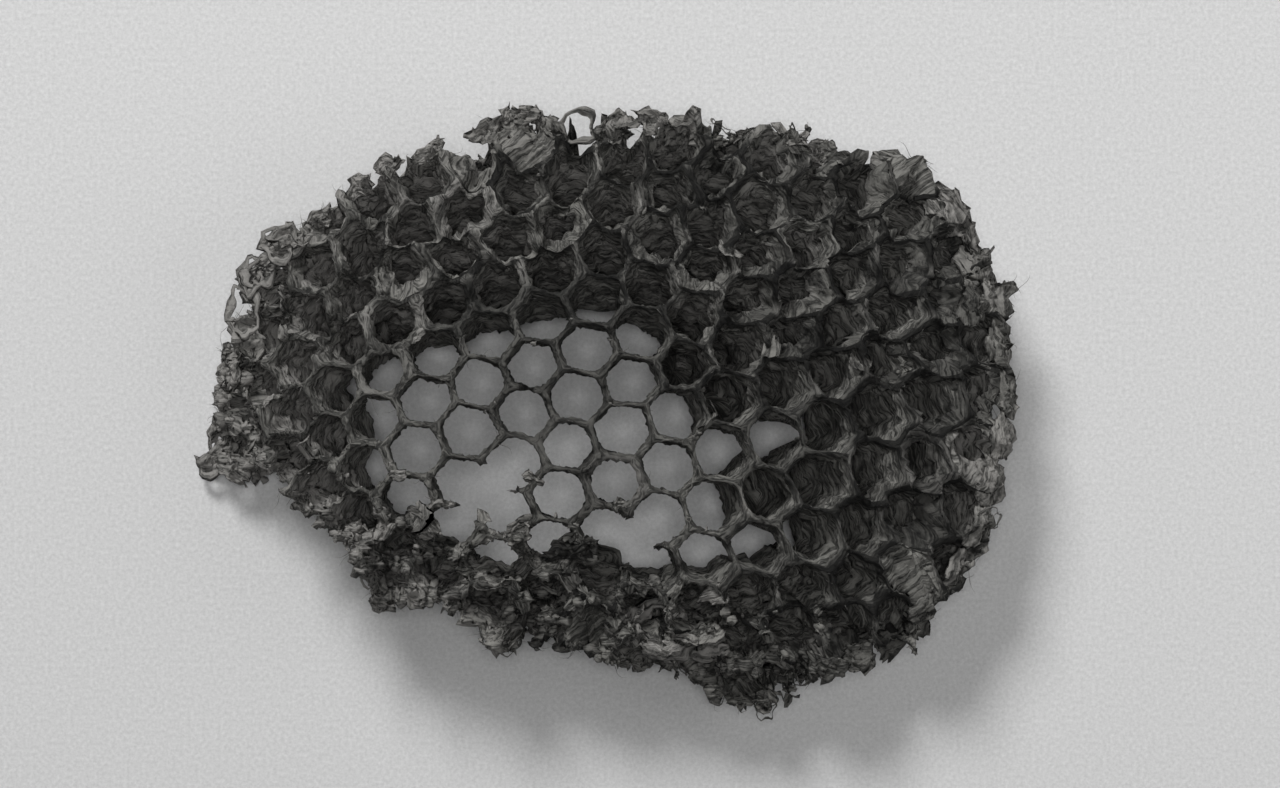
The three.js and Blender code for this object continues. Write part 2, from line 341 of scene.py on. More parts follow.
def foot_edge(first, last, parted, mouth, drop):
    """How far its foot lies below: worn short over the hollow, and arched where it is named above."""
    foot = between(lines[first]["depth"], lines[last]["depth"])
    if parted <= OPEN_CELLS:
        loose = between(raggedness_below(first), raggedness_below(last))
        worn_away = WORN_FOOT + 0.4 * smooth_step(mouth[:, 0], 4, 14)
        foot -= loose * (worn_away + waves(mouth, RAGGED_LONG) + 0.6 * waves(mouth, RAGGED_SHORT)).clip(0, 6)
    foot -= ARCHED_WALLS.get(parted, 0) * np.sqrt(ARCH.clip(0))
    return np.maximum(foot, drop + 1.0)


# %% Holes in worn paper
def held_up(keep):
    """Leaves out bits of wall that nothing joins to its foot or its two ends."""
    joined = np.zeros_like(keep)
    joined[:, -1] = joined[0] = joined[-1] = True
    joined &= keep
    for _ in range(keep.size):
        grown = joined.copy()
        grown[1:] |= joined[:-1]
        grown[:-1] |= joined[1:]
        grown[:, 1:] |= joined[:, :-1]
        grown[:, :-1] |= joined[:, 1:]
        grown &= keep
        if (grown == joined).all():
            break
        joined = grown
    return joined


def standing_faces(points, below, foot, drop, worst_wear):
    """The faces of a wall that are left: more holes near its top edge, and the more worn the more holes."""
    middle = (points[1:, 1:] + points[:-1, :-1]) / 2
    decay = worst_wear[1:, None] * np.exp(-below[1:, 1:] / 5)
    holes = waves(middle, RAGGED_SHORT) + 0.5 * waves(middle, RAGGED_LONG) > 3.4 - 3.0 * decay
    holes[:, -4:] = False
    stands = foot - drop > 0.2
    return held_up((stands[1:] | stands[:-1])[:, None] & ~holes)


# %% Lay out every wall once
WALL_WRINKLES = (0.16, 0.06)          # mm, long and short


def lay_wall(first, last):
    for place in (first, last):
        lines.setdefault(place, corner_line(place))
    one, other = lines[first], lines[last]
    parted = frozenset(set(cells_around(first)) & set(cells_around(last)))
    mouth = one["mouth"] + ALONG[:, None] * (other["mouth"] - one["mouth"])
    wear = wear_at(mouth)
    rim = between(rimward(first), rimward(last))
    depth = between(one["depth"], other["depth"])
    drop = top_edge(first, last, mouth, wear, rim)
    foot = foot_edge(first, last, parted, mouth, drop)
    if parted in TORN_WALLS:
        drop = drop + (foot - drop) * torn_share(first, last, TORN_WALLS[parted])
    below = drop[:, None] + ROW_SHARE[None, :] * (foot - drop)[:, None]
    share = below / depth[:, None]
    across = ALONG[:, None, None]
    points = line_point(one, share) * (1 - across) + line_point(other, share) * across
    free = 0.5 + 0.5 * smooth_step(below, 0, 3)
    whole = between(one["whole"], other["whole"])
    crumple = 1 + 0.9 * whole[:, None] + 1.3 * np.maximum(wear, 1.2 * rim)[:, None] * np.exp(-below / 7)
    points = points + (wrinkled(points, *WALL_WRINKLES) - points) * (free * crumple)[..., None]
    points[..., 2] = np.clip(points[..., 2], LOWEST, HIGHEST)
    keep = standing_faces(points, below, foot, drop, np.maximum(wear, rim))
    spread = np.ones_like(below)
    return dict(points=points, below=below, keep=keep, wear=wear[:, None] * spread, rim=rim[:, None] * spread,
                whole=whole[:, None] * spread)


def wall_of(start, end):
    """The wall between two corners, read from start to end."""
    first, last = sorted((start, end))
    if (first, last) not in walls:
        walls[first, last] = lay_wall(first, last)
    wall = walls[first, last]
    return wall if (start, end) == (first, last) else {key: value[::-1] for key, value in wall.items()}


def thirds(cell, offset):
    return (3 * cell[0] + offset[0], 3 * cell[1] + offset[1])


def sides_of(cell):
    corners = [thirds(cell, offset) for offset in CORNERS]
    return [wall_of(corners[k], corners[(k + 1) % 6]) for k in range(6)]


for cell in sorted(CELLS):
    sides_of(cell)
print("walls:", len(walls), "corner lines:", len(lines))

# %% [markdown]
# ## From walls to paper
# A wall needs thickness. Each cell gets its own smooth lining, set a little in from the shared wall grid and
# rounded at the six corners, the way the wasps smooth it with their bodies. The lip joins the lining to the
# middle of the wall, and outer walls get an outer face too. All patches meet edge to edge, and welding their
# doubled points makes one closed skin.

# %% Patches of skin
HALF_WALL = 0.15           # mm, half the thickness of the paper
END_THICKNESS = 0.35       # mm, paper of a cell's closed end
END_BULGE = 0.9            # mm, how far an end bulges at its middle
GROWTH_STEP = 0.95         # mm between growth bands: each is one load of pulp
GROWTH_DEPTH = 0.085       # mm


def grid_faces(columns, rows, keep=True):
    """Four-sided faces of a grid whose points run down each column in turn."""
    column, row = np.meshgrid(np.arange(columns), np.arange(rows), indexing="ij")
    corner = column * (rows + 1) + row
    faces = np.stack([corner, corner + 1, corner + rows + 2, corner + rows + 1], -1)
    return faces[np.broadcast_to(keep, (columns, rows))]


def free_edges(faces, same_as):
    """Directed edges that only one face has. same_as gives points that lie on one another one number."""
    start = faces.ravel()
    end = np.roll(faces, -1, axis=1).ravel()
    span = same_as.max() + 1
    there = same_as[start] * span + same_as[end]
    back = same_as[end] * span + same_as[start]
    alone = ~np.isin(there, back)
    return start[alone], end[alone]


# %% A skin gathers patches
class Skin:
    """Points in mm, four-sided faces, pattern coordinates in mm, and two values that the finish needs."""

    def __init__(self):
        self.points, self.faces, self.pattern, self.finish, self.count = [], [], [], [], 0

    def add(self, points, faces, pattern, finish):
        points = points.reshape(-1, 3)
        self.points.append(points)
        self.faces.append(faces + self.count)
        self.pattern.append(pattern.reshape(-1, 2))
        self.finish.append(np.broadcast_to(finish, (*pattern.shape[:-1], 2)).reshape(-1, 2))
        self.count += len(points)

    def add_wall_side(self, surface, middle, faces, same_as, closed_below, pattern, finish, set_in):
        """One side of a wall, with strips that join its free edges to the middle of the wall."""
        count = surface[..., 0].size
        start, end = free_edges(faces, same_as)
        rows = surface.shape[1]
        at_foot = (start % rows == rows - 1) & (end % rows == rows - 1)
        keep = ~at_foot | (not closed_below)
        start, end = start[keep], end[keep]
        strips = np.stack([end, start, start + count, end + count], -1)
        points = np.concatenate([surface.reshape(-1, 3), middle.reshape(-1, 3)])
        beyond = pattern - np.stack([0 * set_in, set_in], -1)
        self.add(points, np.concatenate([faces, strips]),
                 np.concatenate([pattern.reshape(-1, 2), beyond.reshape(-1, 2)]),
                 np.concatenate([finish.reshape(-1, 2)] * 2))


# %% [markdown]
# ## Collars, covers and pale cells
# A grown larva closes its cell with a spun cap. When the wasp has left, a smooth pale collar may stay around
# the mouth, and as an old comb dries, other mouths draw in or close over. Both could be sculpted one by one.
# Here a collar is only a lining that stands further in near the mouth, and a cover is a sheet of rings that
# runs inward from the rim, so that both always fit their own cell.

# %% Which cells have them
# A cover: the share of the mouth's width that it leaves open, how far it swells out, in mm, and its paleness.
COVERS = {
    (3, -5): (0.45, 0.4, 0.7), (3, -6): (0.0, 0.3, 0.6), (4, -6): (0.0, -0.8, 0.4),
    (2, -5): (0.0, -1.4, 0.25), (-2, 6): (0.35, -0.6, 0.1), (-1, 6): (0.0, 0.3, 0.2),
    (7, 3): (0.0, 0.7, 0.45), (8, 2): (0.2, -0.6, 0.8), (9, -3): (0.5, -0.9, 0.8),
    (8, -5): (0.0, -1.3, 0.3), (9, 0): (0.4, -0.5, 0.6),
}
# A collar: how far it narrows the mouth on each side, in mm, and its paleness.
COLLARS = {
    (-2, 5): (0.75, 0.9), (-3, 2): (0.35, 0.25), (-3, 3): (0.35, 0.1), (8, -3): (0.6, 0.7),
    (-1, 3): (0.3, 0.1), (-1, 4): (0.3, 0.05), (-2, 3): (0.3, 0.15), (2, -2): (0.42, 0.8),
}
NO_COLLAR = (0, 0)
PALE_CELLS = {(-3, 5), (-1, 4), (0, 4), (5, 2), (4, -5), (8, -5), (9, -3), (3, -5)}     # pale spots inside
SOAKED = 0.6               # how much darker the worn walls in the middle are, as a share
print("covers:", len(COVERS), "collars:", len(COLLARS))


# %% The lining of a cell
COLLAR_DEPTH = 1.2         # mm down from the lip over which a collar fades out


def around(sides, key):
    """Joins what the six sides hold into one closed ring."""
    return np.concatenate([side[key][:-1] for side in sides] + [sides[0][key][:1]])


def toward_middle(ring, axis):
    """For each point of a ring: which way the cell's middle line lies, and how far off."""
    inward = ring[:-1].mean(0)[None] - ring
    inward -= (inward @ axis)[..., None] * axis
    reach = np.linalg.norm(inward, axis=-1)
    inward /= np.maximum(reach, 0.01)[..., None]
    return inward, reach


def lining_set_in(cell, ring, below, whole, reach):
    """How far the lining stands in from the wall: rounded corners, growth bands, creases and a collar."""
    down = below - below[:, :1]
    narrow = reach[COLUMNS // 2:-1:COLUMNS]
    round_radius = (narrow.mean(0) + narrow.min(0)) / 2
    collar_width = COLLARS.get(cell, NO_COLLAR)[0]
    roundness = 0.54 - 0.14 * whole + 0.25 * scatter(cell, 9) - 0.1 * ROW_SHARE
    roundness = roundness + 0.5 * collar_width * (1 - ROW_SHARE)
    growth = np.sin(2 * np.pi * below / GROWTH_STEP + 6 * scatter(cell, 10) + 0.8 * waves(ring, RAGGED_LONG))
    set_in = HALF_WALL * (1 + 0.25 * waves(ring, RAGGED_SHORT)) * (1 - 0.35 * whole)
    set_in += roundness * np.maximum(reach - round_radius, 0)
    set_in += GROWTH_DEPTH * growth * smooth_step(below, 0.3, 1.5) + 0.05 * waves(ring, DIMPLES)
    set_in += (0.04 + 0.16 * whole) * (waves(ring, CREASE) + 0.3) * smooth_step(down, 0.2, 2.0)
    set_in += collar_width * np.exp(-down / COLLAR_DEPTH)
    return set_in.clip(0.06) * smooth_step(reach, 0.2, 1.2)


# %% Pattern and finish of a cell
PATTERN_SPAN = 90          # mm, so that every cell shows its own part of the pattern


def cell_pattern(cell, ring, below):
    """Pattern coordinates in mm: the way round the cell, and the way down from its mouth."""
    along = np.concatenate([[0], np.cumsum(np.linalg.norm(np.diff(ring[:, 0], axis=0), axis=1))])
    pattern = np.stack(np.broadcast_arrays(along[:, None] + PATTERN_SPAN * scatter(cell, 11), below), -1)
    return pattern + np.array([0, PATTERN_SPAN * scatter(cell, 12)])


def cell_finish(cell, ring, below, wear, rim, whole):
    """How frayed the paper is near the lip, partly a painted highlight, and how much paler it is, or darker
    below 0, partly a painted shade along the lips.
    """
    down = below - below[:, :1]
    collar_paleness = COLLARS.get(cell, NO_COLLAR)[1]
    run = np.gradient(ring[:, 0, :2], axis=0)
    upright = np.abs(run[:, 1:]) / np.maximum(np.linalg.norm(run, axis=1, keepdims=True), 0.01)
    # Pale patches near the lip, mostly on walls that run toward the window light: partly frayed fibre and
    # partly a painted highlight.
    fray_and_painted_highlight = smooth_step(waves(ring[:, :1], PATCHES), -1.2, 1.4) * (0.05 + 0.95 * upright ** 2)
    edge = np.exp(-down / (0.2 + 0.7 * fray_and_painted_highlight)) * (0.03 + 0.6 * fray_and_painted_highlight) * (0.25 + 0.75 * whole)
    edge = edge + collar_paleness * np.exp(-down / 2.0)
    worn_pale = np.clip(2.2 * rim + 0.35 * wear, 0, 1) * np.exp(-below / 5)
    soaked = SOAKED * (1 - whole) * (1 - 0.7 * smooth_step(ring[..., 0], -4, 6))
    # A painted shade along the lips of sound cells, least in the pale patches, so most on the walls that run
    # across the window light.
    painted_lip_shade = 1.2 * (1 - fray_and_painted_highlight) * np.exp(-down / 0.7) * max(1 - collar_paleness, 0)
    bleach = worn_pale - soaked + whole * (0.4 * smooth_step(down, 0.8, 2.5) - painted_lip_shade)
    if cell in PALE_CELLS:
        spot = smooth_step(waves(ring * 1.3, PATCHES), 0.2, 0.6) * smooth_step(below, 1.5, 3.5)
        bleach = np.maximum(bleach, 1.4 * spot)
    return np.stack([edge, bleach], -1)


# %% One cell
WALL_VALUES = ("points", "below", "wear", "rim", "whole")
LIP_RISE = 0.06            # mm that the middle of the wall stands over the lining's edge


def build_cell(cell, skin):
    sides = sides_of(cell)
    axis = comb_at(*cell)[1]
    closed = cell not in OPEN_CELLS
    ring, below, wear, rim, whole = (around(sides, key) for key in WALL_VALUES)
    keep = np.concatenate([side["keep"] for side in sides])
    ring[:, 0] += LIP_RISE * axis
    inward, reach = toward_middle(ring, axis)
    set_in = lining_set_in(cell, ring, below, whole, reach)
    lining = ring + inward * set_in[..., None]
    lining[..., 2] = np.clip(lining[..., 2], END_THICKNESS if closed else LOWEST, HIGHEST)
    pattern = cell_pattern(cell, ring, below)
    finish = cell_finish(cell, ring, below, wear, rim, whole)

    round_once = 6 * COLUMNS * (LEVELS + 1)
    same_as = np.arange(round_once + LEVELS + 1) % round_once
    faces = grid_faces(6 * COLUMNS, LEVELS, keep)[:, ::-1]
    skin.add_wall_side(lining, ring, faces, same_as, closed, pattern, finish, set_in)
    if closed:
        foot = np.stack([lining[:, -1], ring[:, -1]], 1)
        skin.add(foot, grid_faces(6 * COLUMNS, 1, ~keep[:, -1:]), pattern[:, -2:], finish[:, -2:])
        build_end(lining[:, -1], ring[:, -1], axis, pattern[:, -1], skin)
    if cell not in COLLARS and whole.mean() > 0.99:
        build_cover(cell, ring[:, 1], axis, pattern[:, 0], skin)
    for k, step in enumerate(NEIGHBOURS):
        if (cell[0] + step[0], cell[1] + step[1]) not in CELLS:
            part = slice(k * COLUMNS, (k + 1) * COLUMNS + 1)
            own_keep = keep[k * COLUMNS:(k + 1) * COLUMNS]
            build_outer_face(ring[part], inward[part], own_keep, pattern[part], finish[part], set_in[part],
                             skin)


# %% The outer face of a wall at the comb's edge
OUTER_SWELL = 0.08         # mm that it swells out in its middle, over half the wall


def build_outer_face(ring, inward, keep, pattern, finish, set_in, skin):
    swell = np.sqrt(ARCH.clip(0))[:, None, None]
    outer = ring - inward * (HALF_WALL + OUTER_SWELL) * swell
    outer[..., 2] = np.maximum(outer[..., 2], LOWEST)
    outer[:, 0] = ring[:, 0]
    outer[:, -1] = ring[:, -1]
    own = np.arange((COLUMNS + 1) * (LEVELS + 1))
    faces = grid_faces(COLUMNS, LEVELS, keep)
    skin.add_wall_side(outer, ring, faces, own, False, pattern, finish, set_in)


# %% [markdown]
# ## Closed ends
# A sound cell ends in a bowl of paper. A round lid would leave gaps at the six-sided foot, so the bowl is
# made of rings that shrink from the cell's own foot to its middle and sink as they go. A second set of rings
# outside gives the bulge that shows on the back of the comb.

# %% The closed end of a cell
END_RINGS = np.array([1, 0.86, 0.62, 0.34, 0.0])     # each ring's width as a share of the cell's
END_UNEVEN = 0.10          # mm


def build_end(inner_rim, outer_rim, axis, pattern, skin):
    """The bowl inside and the bulge outside: rings that shrink from the rim to the middle."""
    dome = END_BULGE * (1 - END_RINGS ** 2)
    faces = grid_faces(6 * COLUMNS, len(END_RINGS) - 1)
    for rim, faces_down in ((inner_rim, False), (outer_rim, True)):
        middle = rim[:-1].mean(0)
        rings = middle + (rim[:, None] - middle) * END_RINGS[:, None]
        rings = rings - axis * dome[:, None]
        rings = rings + (END_UNEVEN * waves(rings, RAGGED_SHORT) * (1 - END_RINGS))[..., None] * axis
        rings[:, 1:, 2] = np.maximum(rings[:, 1:, 2], LOWEST if faces_down else END_THICKNESS)
        spread = pattern[:, None] * np.ones((1, len(END_RINGS), 1)) + END_RINGS[:, None] * np.array([0, 2.0])
        skin.add(rings, faces if faces_down else faces[:, ::-1], spread, np.zeros(2))


# %% A mouth that has drawn in
COVER_RINGS = 7
COVER_THICKNESS = 0.12     # mm
COVER_LOWEST = 0.2         # mm over the table


def build_cover(cell, rim, axis, pattern, skin):
    """A crumpled sheet from the rim of a mouth inward. It leaves a hole, most often on the upper side."""
    drawn_in = (0.70 + 0.4 * scatter(cell, 51), -2.2 + 1.2 * scatter(cell, 52), 0.6 * scatter(cell, 54) - 0.2)
    open_share, swell, paleness = COVERS.get(cell, drawn_in)
    inward = np.linspace(0, 1, COVER_RINGS)
    shrink = 1 - (1 - open_share) * inward
    middle = rim[:-1].mean(0)
    radius = np.linalg.norm(rim - middle, axis=1).mean()
    toward = np.array([0.9 * scatter(cell, 53), 0.55 + 0.5 * scatter(cell, 55), 0]) * radius
    rings = middle + (rim[:, None] - middle) * shrink[:, None] + (1 - shrink)[:, None] * toward
    profile = inward * (2 - inward) if swell > 0 else inward ** 1.4
    folds = 0.20 * waves(rings, RAGGED_SHORT) + 0.38 * waves(rings, CREASE) + 0.1 * waves(rings, RAGGED_FINE)
    lift = swell * profile + folds * np.minimum(1, 1.6 * inward)
    upper = wrinkled(rings, 0.1, 0.10 * inward[:, None]) + lift[..., None] * axis
    upper[:, 0] = rim
    upper[..., 2] = np.clip(upper[..., 2], COVER_LOWEST, HIGHEST)
    lower = upper - COVER_THICKNESS * axis * np.sqrt(inward)[:, None]
    faces = grid_faces(6 * COLUMNS, COVER_RINGS - 1)
    spread = pattern[:, None] * np.ones((1, COVER_RINGS, 1)) + (1 - shrink)[:, None] * np.array([0, 3.0])
    if open_share == 0:
        spread = rings[..., :2] @ np.array([[0.8, -0.6], [0.6, 0.8]])
    lip_light = 0.7 * inward ** 6 * float(open_share > 0)
    finish = np.stack([lip_light + 0 * lift, paleness + 0 * lift], -1)
    skin.add(upper, faces, spread, finish)
    skin.add(lower, faces[:, ::-1], spread, finish)
    if open_share > 0:
        lip = np.stack([upper[:, -1], lower[:, -1]], 1)
        skin.add(lip, grid_faces(6 * COLUMNS, 1), spread[:, -2:], finish[:, -2:])


# %% [markdown]
# ## Dust and grime
# An old comb is not one grey. Dust has dulled its left, and grime has darkened its right and its front. That
# could be painted by hand. A sum of smooth steps across the comb does it with three numbers, and the sum is
# kept with the mesh as a value at each point, which the finish reads later.

# %% Dust
def dustiness(points):
    """How much paler the paper is at a place, or darker below 0."""
    left = smooth_step(-points[:, 0], 10, 42)
    right = smooth_step(points[:, 0], 5, 35)
    front = smooth_step(-points[:, 1], 16, 28) * (1 - smooth_step(-points[:, 0], 10, 30))
    return 0.5 * left - 0.35 * right - 0.3 * front


# %% [markdown]
# ## Welding
# A surface is shaded smoothly only where its faces share their points. The patches meet edge to edge, but
# each has points of its own. So points in the same place are made one, and faces that shrink to a line are
# left out.

# %% Weld the patches
WELD_GRID = 2000           # steps in a millimetre: points within half a micrometre are the same


def weld(skin):
    """The points in mm, the faces, the rows of the skin that the face corners and the points came from."""
    points = np.concatenate(skin.points)
    faces = np.concatenate(skin.faces)
    used = np.unique(faces)
    key = np.round(points[used] * WELD_GRID).astype(np.int64)
    _, first, same = np.unique(key, axis=0, return_index=True, return_inverse=True)
    welded_of = np.zeros(len(points), np.int64)
    welded_of[used] = same.reshape(-1)
    corners = welded_of[faces]
    ahead = np.roll(corners, -1, axis=1)
    whole = (corners != ahead).all(1) & (corners[:, 0] != corners[:, 2]) & (corners[:, 1] != corners[:, 3])
    mesh_faces = corners[whole].tolist()
    corner_rows = [faces[whole].ravel()]
    for face, welded in zip(faces[~whole], corners[~whole]):
        order = [k for k in range(4) if welded[k] != welded[k - 1]]
        if len(order) == 3 and len({int(welded[k]) for k in order}) == 3:
            mesh_faces.append([int(welded[k]) for k in order])
            corner_rows.append(face[order])
    return points[used][first], mesh_faces, np.concatenate(corner_rows), used[first]


# %% Make a mesh of a skin
def make_mesh(name, skin):
    points, faces, corner_rows, point_rows = weld(skin)
    finish = np.concatenate(skin.finish)[point_rows] + dustiness(points)[:, None] * np.array([0, 1.0])
    mesh = bpy.data.meshes.new(name)
    place = (points - np.array([*SOLID_MIDDLE, 0])) * MM
    mesh.from_pydata(place.tolist(), [], faces)
    layer = mesh.uv_layers.new(name="paper_mm")
    pattern = np.concatenate(skin.pattern)[corner_rows]
    layer.data.foreach_set("uv", pattern.astype(np.float32).ravel())
    for channel, label in enumerate(("torn_edge_and_highlight", "bleach_and_painted_shade")):
        attribute = mesh.attributes.new(label, "FLOAT", "POINT")
        attribute.data.foreach_set("value", finish[:, channel].astype(np.float32))
    mesh.validate()
    mesh.update()
    mesh.shade_smooth()
    made = bpy.data.objects.new(name, mesh)
    bpy.context.scene.collection.objects.link(made)
    print(f"{name}: {len(mesh.vertices)} points, {sum(len(face) - 2 for face in faces)} triangles")
    return made


# %% Build the comb in four strips
# The comb is one piece. Its mesh is kept in four strips, only so that no one mesh grows too heavy.
STRIPS = ("comb_left_end", "comb_left_middle", "comb_right_middle", "comb_right_end")
by_place = sorted(CELLS, key=lambda cell: comb_at(*cell)[0][0])
comb_pieces = []
for number, name in enumerate(STRIPS):
    skin = Skin()
    for cell in by_place[number * len(by_place) // 4:(number + 1) * len(by_place) // 4]:
        build_cell(cell, skin)
    comb_pieces.append(make_mesh(name, skin))

# %% [markdown]
# ## Loose bits
# An old comb sheds. Scraps of paper hang on along the torn rims, loops of lace are left where a cell has
# nearly gone, crumbs of pulp sit in the folds, and single wood fibres stand out of every edge. A particle
# system could strew them, but then many would float. Here each one is a small shape of mesh that starts at a
# point of a wall, and the chance of every such point grows with the wear of the paper around it.

# %% Where they can start
UPPER_LEVELS = int(np.searchsorted(ROW_SHARE, 0.5))     # rows of a wall grid in its upper half
starts = {key: [] for key in ("point", "axis", "along", "below", "wear", "rim")}
for (first, last), wall in walls.items():
    axis = (lines[first]["axis"] + lines[last]["axis"]) / 2
    along = lines[last]["mouth"] - lines[first]["mouth"]
    kept = np.zeros((COLUMNS + 1, LEVELS + 1), bool)
    kept[:-1, :-1] = wall["keep"]
    kept[:, UPPER_LEVELS:] = False
    number = int(kept.sum())
    starts["point"].append(wall["points"][kept])
    starts["axis"].append(np.repeat(axis[None], number, 0))
    starts["along"].append(np.repeat(along[None] / np.linalg.norm(along), number, 0))
    starts["below"].append((wall["below"] - wall["below"][:, :1])[kept])
    starts["wear"].append(wall["wear"][kept])
    starts["rim"].append(wall["rim"][kept])
starts = {key: np.concatenate(value) for key, value in starts.items()}
print("places to start from:", len(starts["point"]))


# %% Helpers for small shapes
def pick(count, weight):
    return rng.choice(len(weight), count, p=weight / weight.sum())


def unit(vectors):
    return vectors / np.linalg.norm(vectors, axis=-1, keepdims=True)


def frames(normal, hint):
    """Two directions across each normal."""
    side = unit(np.cross(normal, hint))
    return side, np.cross(normal, side)


def full_turn(steps):
    """Angles once round, with the first one again at the end."""
    return np.arange(steps + 1) % steps * 2 * np.pi / steps


def repeated(faces, points_each, count):
    """The faces of one small shape, for each of its copies."""
    return (faces[None] + (np.arange(count) * points_each)[:, None, None]).reshape(-1, 4)


LOOSE_LOWEST = 0.03        # mm over the table, a hair more than the comb itself


def kept_in_comb(points):
    """The same points, none under the table or above the comb."""
    points[..., 2] = np.clip(points[..., 2], LOOSE_LOWEST, HIGHEST)
    return points


# %% Where few of them lie
RIMMED_HOLE_AT = np.array([2.6, -26.9])     # mm, a pale ring of loops around a hole; the dark in the hole is a painted shade, a dark flap, and no scrap or crumb lies over it
RIMMED_HOLE_REACH = 3.6                     # mm


def clear_of_hole():
    return np.linalg.norm(starts["point"][:, :2] - RIMMED_HOLE_AT, axis=1) > RIMMED_HOLE_REACH


def shedding():
    """Share of loose bits that a place keeps: few along the smooth right edge and inside the left end."""
    x, y = starts["point"][:, 0], starts["point"][:, 1]
    right = smooth_step(x, 29, 37) * smooth_step(y, -28, -22)
    left = smooth_step(x, -47, -43) * (1 - smooth_step(x, -30, -24)) * smooth_step(y, -17, -11)
    return 1 - 0.92 * right - 0.75 * left


def settled(places, reach, above):
    """Rests each place on the nearest wall top: no farther from it than its reach, and a little above it."""
    tops = starts["point"][starts["below"] < 0.3]
    away = np.linalg.norm(tops[None, :, :2] - places[:, None], axis=2)
    nearest = tops[away.argmin(1)]
    pull = (1 - reach / away.min(1).clip(0.01)).clip(0, 1)[:, None]
    return np.concatenate([places + pull * (nearest[:, :2] - places), nearest[:, 2:] + above], 1)


def level_ways(degrees):
    """Level directions, counted from the comb's long way."""
    turn = np.radians(degrees)
    return np.stack([np.cos(turn), np.sin(turn), 0 * turn], -1)


# %% [markdown]
# ## Thin crumpled sheets
# Scraps, flaps and swellings are all the same thing: a round piece of thin paper that was bent and crumpled.
# A cloth simulation would fold a disc too, but slowly, and with little say in where the folds fall. Rings
# and spokes with an uneven outline, bent by three numbers and moved by the wrinkle waves, give folds at once
# and a thin closed edge.

# %% Sheets
SCRAP_GRID, FLAP_GRID = (5, 14), (8, 28)     # rings and spokes of a small scrap and of a large flap
SCRAP_THICKNESS = 0.09     # mm
MOST_BENT = (-2.5, 1.2)    # mm that a sheet may bend down or up


def add_sheets(skin, grid, centre, normal, along, half_sizes, bend, crumple, paleness, ragged=1.0):
    """Sheets, each with its middle, its upward side, its long way and its half sizes in mm."""
    count = len(centre)
    rings, spokes = grid
    across, length = frames(normal, along)
    across = -across
    spoke = full_turn(spokes)
    outline = 1 + 0.11 * ragged * rng.normal(size=(count, spokes)).clip(-1.6, 1.6)
    outline = np.concatenate([outline, outline[:, :1]], 1)
    outline *= 1 + 0.14 * ragged * np.cos(3 * spoke + rng.uniform(0, 6, (count, 1)))
    radius = np.linspace(0, 1, rings + 1)
    spread = outline[:, :, None] * radius
    u = half_sizes[:, :1, None] * spread * np.cos(spoke)[:, None]
    v = half_sizes[:, 1:, None] * spread * np.sin(spoke)[:, None]
    lift = bend[:, 0, None, None] * u * u + bend[:, 1, None, None] * u * v + bend[:, 2, None, None] * v * v
    lift = lift.clip(*MOST_BENT)
    sheet = centre[:, None, None] + u[..., None] * length[:, None, None]
    sheet = sheet + v[..., None] * across[:, None, None]
    sheet = sheet + lift[..., None] * normal[:, None, None]
    sheet = wrinkled(sheet, 0.14 * crumple, 0.10 * crumple)
    crease = crumple * (0.16 * np.abs(waves(sheet, DIMPLES)) + 0.10 * waves(sheet, RAGGED_FINE))
    sheet = sheet + crease[..., None] * normal[:, None, None]
    half = SCRAP_THICKNESS / 2 * (1 - radius ** 6)[None, None, :, None]
    pattern = np.stack([u, v], -1) + rng.uniform(0, 50, (count, 1, 1, 2))
    edge = np.broadcast_to(0.3 * radius ** 3, u.shape)
    bleach = np.broadcast_to(paleness[:, None, None], u.shape)
    for sign in (1, -1):
        face = kept_in_comb(sheet + sign * half * normal[:, None, None])
        faces = grid_faces(spokes, rings)[:, ::sign]
        faces = repeated(faces, (spokes + 1) * (rings + 1), count)
        skin.add(face, faces, pattern, np.stack([edge, bleach], -1))


# %% Small scraps along the torn rims
SCRAP_COUNT = 420
SCRAP_SIZES = (0.5, 1.7)   # mm, half of its length before it is stretched
SCRAP_STRETCH = np.array([1.2, 0.8])


def add_scraps(skin):
    weight = (starts["wear"] ** 1.5 + 0.5 * starts["rim"] + 0.01) * np.exp(-starts["below"] / 1.6)
    chosen = pick(SCRAP_COUNT, weight * clear_of_hole() * shedding())
    normal = unit(starts["axis"][chosen] + rng.normal(size=(SCRAP_COUNT, 3)) * 0.6)
    along = starts["along"][chosen] + 0.3 * rng.normal(size=(SCRAP_COUNT, 3))
    size = rng.uniform(*SCRAP_SIZES, (SCRAP_COUNT, 1)) * (1 - 0.45 * starts["rim"][chosen])[:, None]
    bend = rng.uniform(-0.5, 0.5, (SCRAP_COUNT, 3)) * np.array([1, 0.7, 0.2]) / size
    paleness = rng.uniform(0, 0.6, SCRAP_COUNT)
    add_sheets(skin, SCRAP_GRID, starts["point"][chosen], normal, along, size * SCRAP_STRETCH, bend,
               crumple=1.0, paleness=paleness)


scraps = Skin()
add_scraps(scraps)

